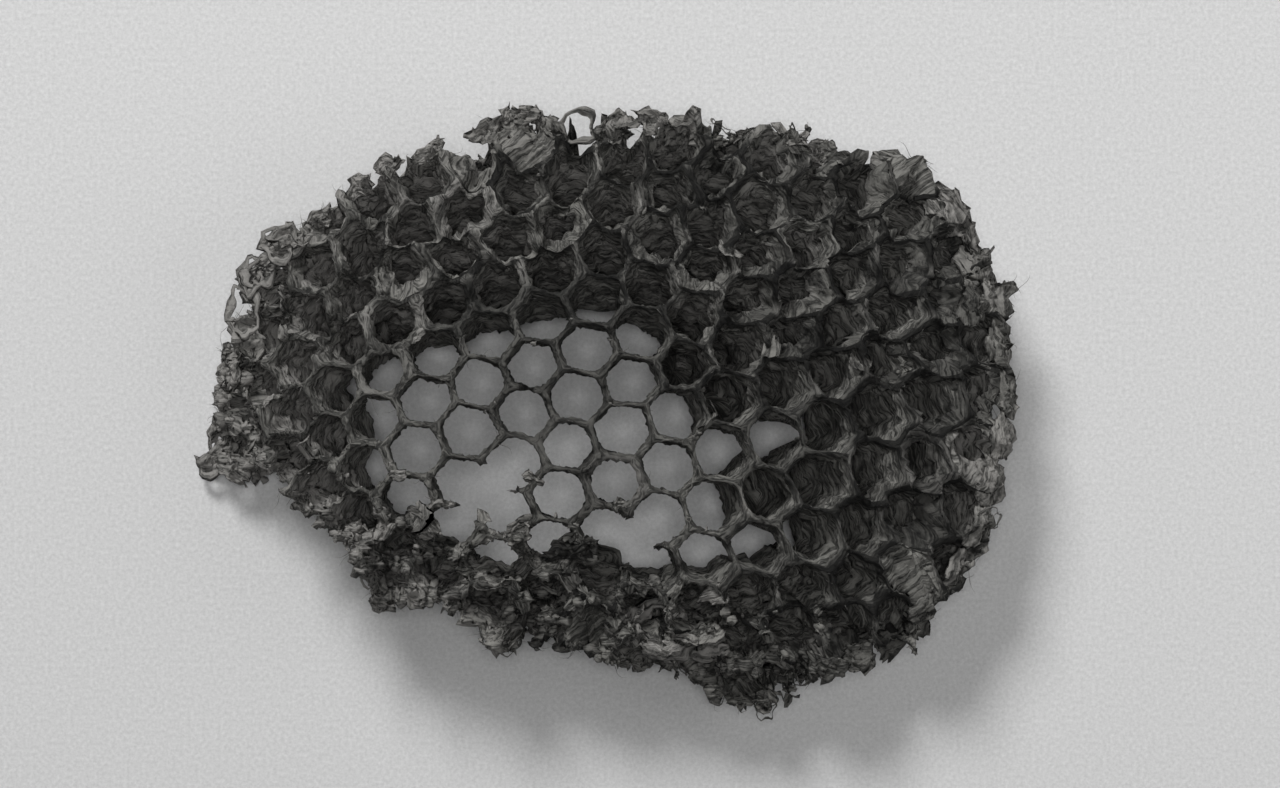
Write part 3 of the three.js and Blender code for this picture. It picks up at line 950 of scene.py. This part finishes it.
# %% Flaps large enough to know one by one
# Middle x and y in mm, long way in degrees, half length, half width, and paleness.
FLAPS = np.array([
    (-12.3, -9.7, -60, 1.6, 0.75, 0.2), (-15.0, -11.7, -20, 1.3, 0.16, 0.7), (-2.0, -12.7, 40, 1.3, 0.9, 0.3),
    (-8.0, -18.0, 0, 3.1, 1.4, -0.9), (-24.9, -14.4, -38, 2.3, 0.9, 0.2), (-9.6, -17.3, 20, 1.6, 1.0, -0.6),
    (-6.4, -17.4, -15, 1.5, 1.1, -0.6), (-17.6, -20.0, 8, 3.0, 0.8, -0.1), (-0.8, -25.4, 50, 2.0, 1.0, 0.9),
    (0.0, -29.2, -30, 2.0, 1.2, 0.9), (5.8, -28.9, -20, 2.3, 1.3, 0.8), (7.4, -27.0, 15, 2.2, 1.0, 0.7),
    (3.0, -30.9, -5, 2.4, 1.1, 0.8), (9.0, -23.0, 35, 1.8, 1.1, 1.0), (-18.0, 30.6, 10, 2.0, 1.5, 0.3),
    (-16.0, 32.2, 70, 1.9, 1.4, 0.5), (-13.4, 33.4, 10, 2.2, 1.5, 0.6), (-11.0, 33.2, -30, 2.0, 1.4, 0.5),
    (-14.2, 31.0, 0, 2.3, 1.3, 0.2), (-10.2, 31.2, -50, 1.9, 1.2, 0.2), (-43.6, 16.6, 40, 2.4, 1.6, 0.3),
    (-41.4, 18.6, 10, 2.3, 1.5, 0.4), (-45.6, 14.0, 70, 2.0, 1.2, 0.2), (-42.6, 13.4, 20, 2.2, 1.5, 0.0),
    (-46.6, 17.0, 60, 1.5, 1.0, 0.5), (-40.2, 16.0, 50, 2.0, 1.4, 0.0), (-44.2, 19.0, 20, 1.6, 1.1, 0.5),
    (-46.4, 12.2, 80, 1.5, 0.8, 0.2), (29.8, -29.8, 40, 2.4, 1.7, 0.1), (26.0, -31.6, 20, 2.4, 1.6, 0.1),
    (33.3, -27.2, 50, 2.2, 1.6, 0.2), (22.2, -32.2, 0, 2.2, 1.6, 0.1), (-4.4, 32.0, 0, 1.8, 1.3, 0.5),
    (-1.7, 32.4, 10, 2.2, 1.4, 0.7), (1.2, 32.2, -10, 2.0, 1.4, 0.7), (-24.7, 29.4, 30, 2.0, 1.2, 0.5),
    (-29.0, 27.2, 35, 2.0, 1.1, 0.6), (-33.2, 24.4, 40, 1.8, 1.0, 0.5), (-37.6, 21.0, 45, 1.6, 1.0, 0.4),
    (35.8, 22.6, -50, 2.6, 1.8, 1.1), (38.0, 19.4, -60, 2.3, 1.7, 1.0), (40.6, 15.8, -70, 2.0, 1.2, 0.8),
    (-51.0, -7.5, 30, 2.2, 1.5, 0.3), (-49.0, -9.6, -20, 2.0, 1.3, 0.2), (-51.4, -4.0, 70, 1.6, 1.1, 0.3),
    (-48.5, 2.5, 80, 2.0, 1.2, 0.1), (-49.6, -1.0, 90, 1.8, 1.1, 0.1), (1.6, -19.9, 0, 0.55, 0.45, -0.8),
    # The flap at 2.6, -26.9, with paleness -0.9, is a dark sheet that paints the shade inside the small hole
    # that the pale loops ring.
    (5.6, -24.8, 60, 1.8, 0.9, 0.8), (2.6, -26.9, 10, 1.7, 1.2, -0.9), (13.0, 30.9, -5, 2.4, 1.1, 1.0),
    (17.7, 30.6, -10, 2.4, 1.1, 1.2), (22.2, 28.9, -25, 2.2, 1.1, 1.2),
])
FLAP_CRUMPLE = 1.9         # times as crumpled as a small scrap

flaps_at = settled(FLAPS[:, :2], 0.6 * FLAPS[:, 4], above=-0.2)
upward = unit(np.array([0, 0, 1.0]) + 0.25 * rng.normal(size=(len(FLAPS), 3)))
flap_bend = rng.uniform(-0.15, 0.05, (len(FLAPS), 3)) * np.array([1, 1, 0.2])
add_sheets(scraps, FLAP_GRID, flaps_at, upward, level_ways(FLAPS[:, 2]), FLAPS[:, 3:5], flap_bend,
           FLAP_CRUMPLE, FLAPS[:, 5])
print("flaps:", len(FLAPS))

# %% Round swellings, mostly along the right edge, where the last cells have closed over
# Middle x and y in mm, long way in degrees, half length, half width, and paleness.
SWELLINGS = np.array([
    (30.9, 27.0, -40, 3.6, 2.7, 0.6), (40.0, 16.0, -60, 2.6, 2.2, 0.7), (41.9, 11.8, -75, 2.9, 1.5, 0.9),
    (42.9, 5.9, -80, 3.2, 1.9, 0.5), (43.8, 0.3, -85, 2.8, 1.7, 0.4), (43.3, -5.2, 90, 2.8, 1.9, 0.9),
    (42.2, -10.8, 75, 2.6, 2.1, 0.9), (40.4, -15.6, 60, 2.9, 1.7, 0.6), (37.6, -20.4, 50, 2.7, 1.4, 0.9),
    (33.6, -25.2, 45, 2.6, 1.6, 0.2), (44.6, -1.6, 85, 1.6, 1.2, 0.6), (39.6, 10.6, -70, 2.6, 2.2, -0.1),
    (2.8, -30.2, -5, 2.5, 1.6, 1.1), (8.4, -30.6, 15, 2.3, 1.4, 0.9), (-2.3, -28.2, -30, 2.3, 1.7, 0.8),
])
DOME_BEND = np.array([-0.10, 0, -0.28])     # down along its length, and more steeply across it
DOME_LEAN_AT = 55          # mm from the middle, where a dome faces outward as much as up
DOME_CRUMPLE = 1.1         # times as crumpled as a small scrap

domes_at = settled(SWELLINGS[:, :2], 0.6 * SWELLINGS[:, 4], above=0.1)
outward = unit(np.concatenate([SWELLINGS[:, :2] / DOME_LEAN_AT, np.ones((len(SWELLINGS), 1))], 1))
dome_bend = DOME_BEND * np.ones((len(SWELLINGS), 1))
add_sheets(scraps, FLAP_GRID, domes_at, outward, level_ways(SWELLINGS[:, 2]), SWELLINGS[:, 3:5], dome_bend,
           DOME_CRUMPLE, SWELLINGS[:, 5], ragged=0.35)
print("swellings:", len(SWELLINGS))
loose_pieces = [make_mesh("paper_scraps", scraps)]

# %% [markdown]
# ## Lace
# Where a cell has nearly gone, only a crooked loop of its walls is left. A curve with a thickness would be
# the usual way. A tube of mesh does the same and can be flat and wide in one place and thin in the next: each
# point of the loop carries a small ring that is stretched outward by the width of the strap there.

# %% Where the loops are
LOOP_COUNT = 40
# Loops that are large enough to know one by one: middle x and y in mm, half length across and along, half the
# width of the strap, and paleness. Two of them make the rim of the small pale hole.
LARGE_LOOPS = np.array([
    (-46.9, 9.9, 1.7, 3.4, 0.75, 0.3), (-44.9, 14.6, 1.5, 1.9, 0.9, 0.3), (-42.3, 17.9, 2.1, 1.7, 0.8, 0.2),
    (-46.8, 15.4, 1.2, 1.9, 0.8, 0.1), (-44.9, 18.4, 1.6, 1.4, 0.8, 0.4), (-42.2, 14.4, 1.6, 1.6, 0.9, 0.1),
    (-7.0, 31.0, 1.9, 1.7, 0.7, 0.3), (-50.6, -6.4, 1.6, 1.3, 0.7, 0.2), (-51.4, -8.4, 1.5, 1.1, 0.7, 0.2),
    (2.2, -27.0, 2.5, 1.8, 1.0, 1.3), (2.2, -27.0, 3.0, 2.3, 1.2, 1.0), (4.4, -29.6, 2.6, 1.7, 0.8, 0.9),
])


def loop_places():
    """Middle, upward side, two ways across, half sizes and half width of the strap of every loop."""
    weight = (starts["wear"] ** 2 + 0.2) * (starts["rim"] > 0.3) * np.exp(-starts["below"] / 1.2)
    chosen = pick(LOOP_COUNT, weight * shedding())
    centre = starts["point"][chosen] - 0.6 * starts["axis"][chosen]
    normal = unit(starts["axis"][chosen] + 0.5 * rng.normal(size=(LOOP_COUNT, 3)))
    side, other = frames(normal, unit(rng.normal(size=(LOOP_COUNT, 3))))
    reach = rng.uniform(0.8, 1.8, (LOOP_COUNT, 1)) * np.array([1, 0.8])
    flat = unit(np.array([-0.25, 0.1, 1]) + 0.1 * rng.normal(size=(len(LARGE_LOOPS), 3)))
    large_side, large_other = frames(flat, np.array([[0, 1.0, 0]]))
    place = settled(LARGE_LOOPS[:, :2], 0.9 * LARGE_LOOPS[:, 2:4].min(1), above=0.4)
    small = (centre, normal, side, other, reach, np.full(LOOP_COUNT, 0.2))
    large = (place, flat, large_side, large_other, LARGE_LOOPS[:, 2:4], LARGE_LOOPS[:, 4])
    return [np.concatenate(pair) for pair in zip(small, large)]


# %% Straps of lace
LOOP_STEPS, LOOP_SIDES = 26, 5


def add_lace(skin):
    centre, normal, side, other, reach, strap = loop_places()
    count = len(centre)
    turn, angle = full_turn(LOOP_STEPS), full_turn(LOOP_SIDES)
    wobble = 1 + 0.14 * np.cos(2 * turn + rng.uniform(0, 6, (count, 1)))
    wobble = wobble + 0.1 * np.cos(5 * turn + rng.uniform(0, 6, (count, 1)))
    path = centre[:, None] + (reach[:, :1] * wobble * np.cos(turn))[..., None] * side[:, None]
    path = path + (reach[:, 1:] * wobble * np.sin(turn))[..., None] * other[:, None]
    path = wrinkled(path, 0.14, 0.14)
    away = unit(path - centre[:, None])
    uneven = 0.35 + 0.65 * (0.5 + 0.5 * np.sin(3 * turn + rng.uniform(0, 6, (count, 1)))) ** 2
    width = strap[:, None] * uneven
    tube = path[:, :, None] + (width[..., None] * np.cos(angle))[..., None] * away[:, :, None]
    tube = tube + ((0.14 * width + 0.05)[..., None] * np.sin(angle))[..., None] * normal[:, None, None]
    faces = repeated(grid_faces(LOOP_STEPS, LOOP_SIDES), (LOOP_STEPS + 1) * (LOOP_SIDES + 1), count)
    pattern = np.stack(np.broadcast_arrays(turn[:, None] * 1.5, angle * 0.3), -1)
    pattern = pattern + rng.uniform(0, 50, (count, 1, 1, 2))
    pale = np.concatenate([rng.uniform(0, 0.6, LOOP_COUNT), LARGE_LOOPS[:, 5]])
    pale = np.broadcast_to(pale[:, None, None], pattern.shape[:-1])
    skin.add(kept_in_comb(tube), faces, pattern, np.stack([0.2 + 0 * pale, pale], -1))


lace = Skin()
add_lace(lace)
loose_pieces.append(make_mesh("paper_lace", lace))

# %% [markdown]
# ## Crumbs of pulp
# Pulp that has come off lies about in crumbs a few tenths of a millimetre across. Balls of few faces are
# enough for them, each stretched by chance in three directions and dented by the waves.

# %% Crumbs
CRUMB_COUNT = 1000
CRUMB_RINGS, CRUMB_SPOKES = 4, 7
CRUMB_SIZES = (0.12, 0.42)     # mm, radius in sound paper, and up to twice that in worn paper


def add_crumbs(skin):
    weight = (starts["wear"] ** 2 + 0.25 * starts["rim"] + 0.008) * np.exp(-starts["below"] / 2.5)
    chosen = pick(CRUMB_COUNT, weight * clear_of_hole() * shedding())
    centre = starts["point"][chosen] + 0.25 * rng.normal(size=(CRUMB_COUNT, 3))
    size = rng.uniform(*CRUMB_SIZES, CRUMB_COUNT) * (1 + starts["wear"][chosen])
    ring, spoke = np.linspace(0, np.pi, CRUMB_RINGS + 1), full_turn(CRUMB_SPOKES)[:, None]
    ball = (np.sin(ring) * np.cos(spoke), np.sin(ring) * np.sin(spoke), np.cos(ring) + 0 * spoke)
    stretch = rng.uniform(0.5, 1.5, (CRUMB_COUNT, 1, 1, 3))
    shape = np.stack(ball, -1)[None] * stretch * size[:, None, None, None]
    dents = 1 + 0.35 * waves(centre[:, None, None] + shape * 2.5, DIMPLES)
    lumps = kept_in_comb(centre[:, None, None] + shape * dents[..., None])
    faces = grid_faces(CRUMB_SPOKES, CRUMB_RINGS)
    faces = repeated(faces, (CRUMB_SPOKES + 1) * (CRUMB_RINGS + 1), CRUMB_COUNT)
    pattern = shape[..., :2] + rng.uniform(0, 50, (CRUMB_COUNT, 1, 1, 2))
    bleach = np.broadcast_to(rng.uniform(0, 0.5, (CRUMB_COUNT, 1, 1)), pattern.shape[:-1])
    skin.add(lumps, faces, pattern, np.stack([0.1 + 0 * bleach, bleach], -1))


crumbs = Skin()
add_crumbs(crumbs)
loose_pieces.append(make_mesh("pulp_crumbs", crumbs))

# %% [markdown]
# ## Wood fibres
# At a torn edge single fibres of the chewed wood stand free. Hair would need a system of its own, so each
# fibre here is a bent three-sided tube that runs out to a point. Most lie along the wall, and a few stand up.

# %% Fibres
FIBRE_COUNT = 2700
FIBRE_STEPS, FIBRE_SIDES = 6, 3
FIBRE_RADIUS = 0.035       # mm, a strand of a few fibres


def add_fibres(skin):
    weight = (starts["wear"] + starts["rim"] + 0.12) * np.exp(-starts["below"] / 0.5)
    chosen = pick(FIBRE_COUNT, weight)
    axis, along = starts["axis"][chosen], starts["along"][chosen]
    lying = rng.uniform(0.2, 1.6, (FIBRE_COUNT, 1)) * rng.choice([-1, 1], (FIBRE_COUNT, 1))
    heading = axis * rng.uniform(-0.2, 0.9, (FIBRE_COUNT, 1)) + along * lying
    heading = unit(heading + 0.5 * rng.normal(size=axis.shape))
    side, other = frames(heading, rng.normal(size=axis.shape))
    length = rng.gamma(2.2, 0.42, FIBRE_COUNT).clip(0.3, 3.0)
    step = np.linspace(0, 1, FIBRE_STEPS + 1)
    bend = rng.normal(size=(2, FIBRE_COUNT, 1)) * 0.45 * length[:, None]
    path = starts["point"][chosen][:, None] + heading[:, None] * (step * length[:, None])[..., None]
    path = path + side[:, None] * (bend[0] * step ** 2)[..., None]
    path = path + other[:, None] * (bend[1] * step * np.sin(3 * step))[..., None]
    angle = full_turn(FIBRE_SIDES)[:, None, None]
    thick = FIBRE_RADIUS * (1 - 0.75 * step ** 2)
    thick[-1] = 0
    around_it = side[:, None, None] * np.cos(angle) + other[:, None, None] * np.sin(angle)
    tube = kept_in_comb(path[:, None] + around_it * thick[:, None])
    faces = grid_faces(FIBRE_SIDES, FIBRE_STEPS)[:, ::-1]
    faces = repeated(faces, (FIBRE_SIDES + 1) * (FIBRE_STEPS + 1), FIBRE_COUNT)
    pattern = np.stack(np.broadcast_arrays(angle[:, 0] * 0.03, step), -1)
    pattern = pattern + rng.uniform(0, 50, (FIBRE_COUNT, 1, 1, 2))
    tone = np.broadcast_to(rng.uniform(0, 1, (FIBRE_COUNT, 1, 1)), pattern.shape[:-1])
    skin.add(tube, faces, pattern, np.stack([0.3 * tone, tone], -1))


fibres = Skin()
add_fibres(fibres)
loose_pieces.append(make_mesh("wood_fibres", fibres))

# %% [markdown]
# ## Wasp paper
# Wasp paper is chewed weathered wood: short grey fibres glued with spit, laid down in thin bands. To the eye
# it is dead matt and streaked along the bands, paler where fresh fibres fray at the edges and darker where
# dirt has soaked in. So the finish starts from a dark grey, and streaks of pale fibre that run around the
# cell lighten it.

# %% Colour and node helpers
def linear(hex_colour):
    """A screen colour such as #8c8a86, as the linear colour that Blender mixes with."""
    channels = [int(hex_colour[k:k + 2], 16) / 255 for k in (1, 3, 5)]
    return [c / 12.92 if c <= 0.04045 else ((c + 0.055) / 1.055) ** 2.4 for c in channels] + [1.0]


def add_node(tree, kind, inputs=None, **settings):
    """Adds one node. An input, by name or number, gets a link or a value. Settings are properties of the
    node, or more of its inputs, with _ for a space."""
    node = tree.nodes.new(kind)
    for name, value in settings.items():
        if hasattr(node, name):
            setattr(node, name, value)
        else:
            node.inputs[name.replace("_", " ")].default_value = value
    for name, value in (inputs or {}).items():
        if isinstance(value, bpy.types.NodeSocket):
            tree.links.new(value, node.inputs[name])
        else:
            node.inputs[name].default_value = value
    return node


# %% Weathered wood-pulp paper: its own numbers
PAPER_IOR = 1.5            # cellulose
PAPER_GLOSS = 0.25         # half the usual reflection, because loose fibres break it up
paper = bpy.data.materials.new("weathered_wood_pulp_paper")
paper.use_nodes = True
tree = paper.node_tree
shader = tree.nodes["Principled BSDF"]
shader.inputs["IOR"].default_value = PAPER_IOR
shader.inputs["Specular IOR Level"].default_value = PAPER_GLOSS

# %% [markdown]
# ### Patterns in the paper
# Bands of pulp and single fibres run around the cell, so they are drawn in the mesh's own flat coordinates,
# which are in mm, and stretched along the band. A slow sway keeps them from lying as straight as if ruled.
# Blotches, clumps and creases do not follow the cell, so they are drawn through space.

# %% Bands and fibres, around the cell
FIBRE_WIDTH = 0.13         # mm, drawn coarser than the real 0.02 mm so that it shows
BAND_WIDTH = 0.42          # mm, one streak of pulp
SWAY = (0.3, 0.34, 0.0)    # mm that a band wanders

uv = add_node(tree, "ShaderNodeUVMap", uv_map="paper_mm")
sway = add_node(tree, "ShaderNodeTexNoise", {"Vector": uv.outputs["UV"]}, Scale=0.4, Detail=2.0)
bent = add_node(tree, "ShaderNodeVectorMath", {0: sway.outputs["Color"], 1: SWAY, 2: uv.outputs["UV"]},
                operation="MULTIPLY_ADD")
along = add_node(tree, "ShaderNodeMapping", {"Vector": bent.outputs[0]},
                 Scale=(0.08 / BAND_WIDTH, 1 / BAND_WIDTH, 1))
bands = add_node(tree, "ShaderNodeTexNoise", {"Vector": along.outputs[0]},
                 Scale=1.0, Detail=3.0, Roughness=0.55)
thin = add_node(tree, "ShaderNodeMapping", {"Vector": bent.outputs[0]},
                Scale=(0.09 / FIBRE_WIDTH, 1 / FIBRE_WIDTH, 1))
fibre = add_node(tree, "ShaderNodeTexNoise", {"Vector": thin.outputs[0]},
                 Scale=1.0, Detail=2.0, Roughness=0.6)

# %% Blotches, clumps and creases, through space
BLOTCH = 5.0               # mm, dirt and damp
CLUMP = 0.7                # mm, clumps of fibre
CREASE_SPACING = 2.6       # mm

space = add_node(tree, "ShaderNodeTexCoord")
blotches = add_node(tree, "ShaderNodeTexNoise", {"Vector": space.outputs["Object"]},
                    Scale=1 / (BLOTCH * MM), Detail=5.0, Roughness=0.7)
clumps = add_node(tree, "ShaderNodeTexNoise", {"Vector": space.outputs["Object"]},
                  Scale=1 / (CLUMP * MM), Detail=3.0, Roughness=0.65)
creases = add_node(tree, "ShaderNodeTexNoise", {"Vector": space.outputs["Object"]},
                   noise_type="RIDGED_MULTIFRACTAL", normalize=True,
                   Scale=1 / (CREASE_SPACING * MM), Detail=4.0, Roughness=0.6)

# %% [markdown]
# ### From patterns to one tone
# Each pattern is stretched to a range of its own and they are added up, the bands most of all. Blotches then
# make the sum weaker or stronger from place to place. The result, from 0 to 1, says how much pale fibre lies
# bare.

# %% Tone
BAND_WEIGHT = 2.6          # a band counts this many times as much as a fibre or a clump
TONE_SCALE = 0.285         # a band of bare fibre comes to about 1, and what is over 1 is cut off

streak = add_node(tree, "ShaderNodeMapRange", {"Value": bands.outputs["Fac"]}, From_Min=0.46, From_Max=0.57)
hair = add_node(tree, "ShaderNodeMapRange", {"Value": fibre.outputs["Fac"]}, From_Min=0.42, From_Max=0.62)
grain = add_node(tree, "ShaderNodeMapRange", {"Value": clumps.outputs["Fac"]}, From_Min=0.38, From_Max=0.66)
patch = add_node(tree, "ShaderNodeMapRange", {"Value": blotches.outputs["Fac"]},
                 From_Min=0.35, From_Max=0.65, To_Min=0.45, To_Max=1.6)
laid = add_node(tree, "ShaderNodeMath", {0: hair.outputs[0], 1: grain.outputs[0]}, operation="ADD")
laid = add_node(tree, "ShaderNodeMath", {0: streak.outputs[0], 1: BAND_WEIGHT, 2: laid.outputs[0]},
                operation="MULTIPLY_ADD")
laid = add_node(tree, "ShaderNodeMath", {0: laid.outputs[0], 1: patch.outputs[0]}, operation="MULTIPLY")
tone = add_node(tree, "ShaderNodeMath", {0: laid.outputs[0], 1: TONE_SCALE},
                operation="MULTIPLY", use_clamp=True)

# %% [markdown]
# ### Colours
# The tone mixes a soaked dark grey with a weathered mid grey. Two values that the mesh carries then change
# it: where paper is bleached or torn, and where a highlight is painted near the lips, its bare fibre goes
# paler, and where it is soaked, and where a shade is painted along the lips, all of it goes darker. A painted
# shade in the creases comes last, over everything.

# %% Four greys and the painted crease shade
SOAKED_GREY, WEATHERED_GREY = "#161615", "#757470"
# The torn grey is also the colour of the painted highlight near the lips.
TORN_AND_HIGHLIGHT_GREY, BLEACHED_GREY = "#83817e", "#82807d"
BLEACHED_GAIN = 1.5
PAINTED_CREASE_SHADE = 0.30         # share of the light that the deepest painted crease shade gives back
DARKEST_SOAK_AND_SHADE = 0.1       # and the most soaked paper, and the deepest painted shade along the lips

torn_and_highlight = add_node(tree, "ShaderNodeAttribute", attribute_name="torn_edge_and_highlight")
bleach_and_painted_shade = add_node(tree, "ShaderNodeAttribute", attribute_name="bleach_and_painted_shade")
body = add_node(tree, "ShaderNodeMix",
                {0: tone.outputs[0], 6: linear(SOAKED_GREY), 7: linear(WEATHERED_GREY)}, data_type="RGBA")
pale_share = add_node(tree, "ShaderNodeMath", {0: bleach_and_painted_shade.outputs["Fac"], 1: tone.outputs[0]},
                      operation="MULTIPLY")
pale_share = add_node(tree, "ShaderNodeMath", {0: pale_share.outputs[0], 1: BLEACHED_GAIN},
                      operation="MULTIPLY", use_clamp=True)
pale = add_node(tree, "ShaderNodeMix",
                {0: pale_share.outputs[0], 6: body.outputs[2], 7: linear(BLEACHED_GREY)}, data_type="RGBA")
# Paler toward the torn grey where the first value is high: torn, frayed fibre, and the painted highlight near
# the lips.
fray_and_highlight_share = add_node(tree, "ShaderNodeMath", {0: torn_and_highlight.outputs["Fac"], 1: tone.outputs[0]},
                operation="MULTIPLY", use_clamp=True)
frayed_and_highlit = add_node(tree, "ShaderNodeMix", {0: fray_and_highlight_share.outputs[0], 6: pale.outputs[2], 7: linear(TORN_AND_HIGHLIGHT_GREY)},
                  data_type="RGBA")
# Painted shade: the creases, which the bump sets in, are darkened to as little as 0.3 of the light.
painted_crease_shade = add_node(tree, "ShaderNodeMapRange", {"Value": creases.outputs["Fac"]},
                From_Min=0.30, From_Max=0.62, To_Min=1.0, To_Max=PAINTED_CREASE_SHADE)
# Darker where the second value is below 0: soaked paper, and the painted shade along the lips of sound cells
# and in the small hole.
soaked = add_node(tree, "ShaderNodeMapRange", {"Value": bleach_and_painted_shade.outputs["Fac"]},
                  From_Min=-1.0, From_Max=0.0, To_Min=DARKEST_SOAK_AND_SHADE)
shade = add_node(tree, "ShaderNodeMath", {0: painted_crease_shade.outputs[0], 1: soaked.outputs[0]}, operation="MULTIPLY")
colour = add_node(tree, "ShaderNodeVectorMath", {0: frayed_and_highlit.outputs[2], "Scale": shade.outputs[0]},
                  operation="SCALE")
tree.links.new(colour.outputs[0], shader.inputs["Base Color"])

# %% [markdown]
# ### Dullness and relief
# Bare fibre scatters light a little more than spit-glued pulp, so the roughness follows the tone within a
# narrow matt range. The shapes are all in the mesh; the bump only adds the fine grain of fibres, clumps and
# creases.

# %% Dullness and relief
MATT_RANGE = (0.84, 0.97)
CREASE_HEIGHT = -2.2       # creases go in, and count this many times as much as a fibre
GRAIN_HEIGHT = 0.22        # mm

dullness = add_node(tree, "ShaderNodeMapRange", {"Value": tone.outputs[0]},
                    To_Min=MATT_RANGE[0], To_Max=MATT_RANGE[1])
tree.links.new(dullness.outputs[0], shader.inputs["Roughness"])
relief = add_node(tree, "ShaderNodeMath", {0: bands.outputs["Fac"], 1: fibre.outputs["Fac"]}, operation="ADD")
relief = add_node(tree, "ShaderNodeMath", {0: creases.outputs["Fac"], 1: CREASE_HEIGHT, 2: relief.outputs[0]},
                  operation="MULTIPLY_ADD")
relief = add_node(tree, "ShaderNodeMath", {0: clumps.outputs["Fac"], 1: relief.outputs[0]}, operation="ADD")
bump = add_node(tree, "ShaderNodeBump", {"Height": relief.outputs[0]},
                Strength=0.9, Distance=GRAIN_HEIGHT * MM)
tree.links.new(bump.outputs[0], shader.inputs["Normal"])
print("paper nodes:", len(tree.nodes))

# %% Put the paper on, in the solid comb's place
for piece in comb_pieces + loose_pieces:
    piece.data.materials.append(paper)
    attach(piece, "root")
    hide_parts("comb")
print("pieces that ride on the root:", len(comb_pieces + loose_pieces))

# %% [markdown]
# ## Table
# The comb lies on a plain pale board with a coat of matt paint. To the eye it is all but even; a fine grain,
# drawn coarser than that of real paint so that it shows, keeps it from looking like empty space.

# %% Pale board
TABLE_SIZE = 900.0         # mm
table_mesh = bpy.data.meshes.new("pale_board")
half = TABLE_SIZE * MM / 2
board_corners = [(-half, -half, 0), (half, -half, 0), (half, half, 0), (-half, half, 0)]
table_mesh.from_pydata(board_corners, [], [(0, 1, 2, 3)])
table = bpy.data.objects.new("pale_board", table_mesh)
bpy.context.scene.collection.objects.link(table)

# %% Matt paint
PAINT_GRAIN = 2200.0       # grains in a metre, so one is nearly half a millimetre
PAINT_GLOSS = 0.2
PAINT_GREYS = ("#a9a9a9", "#dfdfdf")
board = bpy.data.materials.new("matt_painted_board")
board.use_nodes = True
paint_tree = board.node_tree
paint = paint_tree.nodes["Principled BSDF"]
paint.inputs["Specular IOR Level"].default_value = PAINT_GLOSS
paint_space = add_node(paint_tree, "ShaderNodeTexCoord")
paint_grain = add_node(paint_tree, "ShaderNodeTexNoise", {"Vector": paint_space.outputs["Object"]},
                       Scale=PAINT_GRAIN, Detail=3.0, Roughness=0.7)
paint_tone = add_node(paint_tree, "ShaderNodeMix",
                      {0: paint_grain.outputs["Fac"], 6: linear(PAINT_GREYS[0]), 7: linear(PAINT_GREYS[1])},
                      data_type="RGBA")
paint_tree.links.new(paint_tone.outputs[2], paint.inputs["Base Color"])
paint_dullness = add_node(paint_tree, "ShaderNodeMapRange", {"Value": paint_grain.outputs["Fac"]},
                          To_Min=0.85, To_Max=0.95)
paint_tree.links.new(paint_dullness.outputs[0], paint.inputs["Roughness"])
table.data.materials.append(board)

# %% [markdown]
# ## Light
# One large soft window stands behind the comb, a little to its left, and throws the soft shadows to the front
# and right. A soft ceiling light shines straight down into the cells, and a white wall at the right and a dim
# even sky fill what is left. Discs of light are used because their shadows fade evenly in all directions.

# %% Three soft lights and a dim sky
def soft_light(name, at, size, watts):
    """A round soft light at a place in metres, turned to the comb."""
    data = bpy.data.lights.new(name, "AREA")
    data.shape = "DISK"
    data.size = size
    data.energy = watts
    light = bpy.data.objects.new(name, data)
    light.location = at
    light.rotation_mode = "QUATERNION"
    light.rotation_quaternion = (-Vector(at)).to_track_quat("-Z", "Y")
    bpy.context.scene.collection.objects.link(light)


soft_light("window", (-0.26, 0.62, 0.55), size=0.30, watts=7.4)
soft_light("ceiling", (0.0, 0.01, 0.95), size=0.30, watts=2.8)
soft_light("white_wall", (0.26, 0.02, 0.20), size=0.22, watts=0.20)

SKY_STRENGTH = 0.06
sky = bpy.data.worlds.new("dim_sky")
sky.use_nodes = True
sky_light = sky.node_tree.nodes["Background"]
sky_light.inputs["Color"].default_value = linear("#ffffff")
sky_light.inputs["Strength"].default_value = SKY_STRENGTH
bpy.context.scene.world = sky
bpy.context.scene.view_settings.view_transform = "Standard"
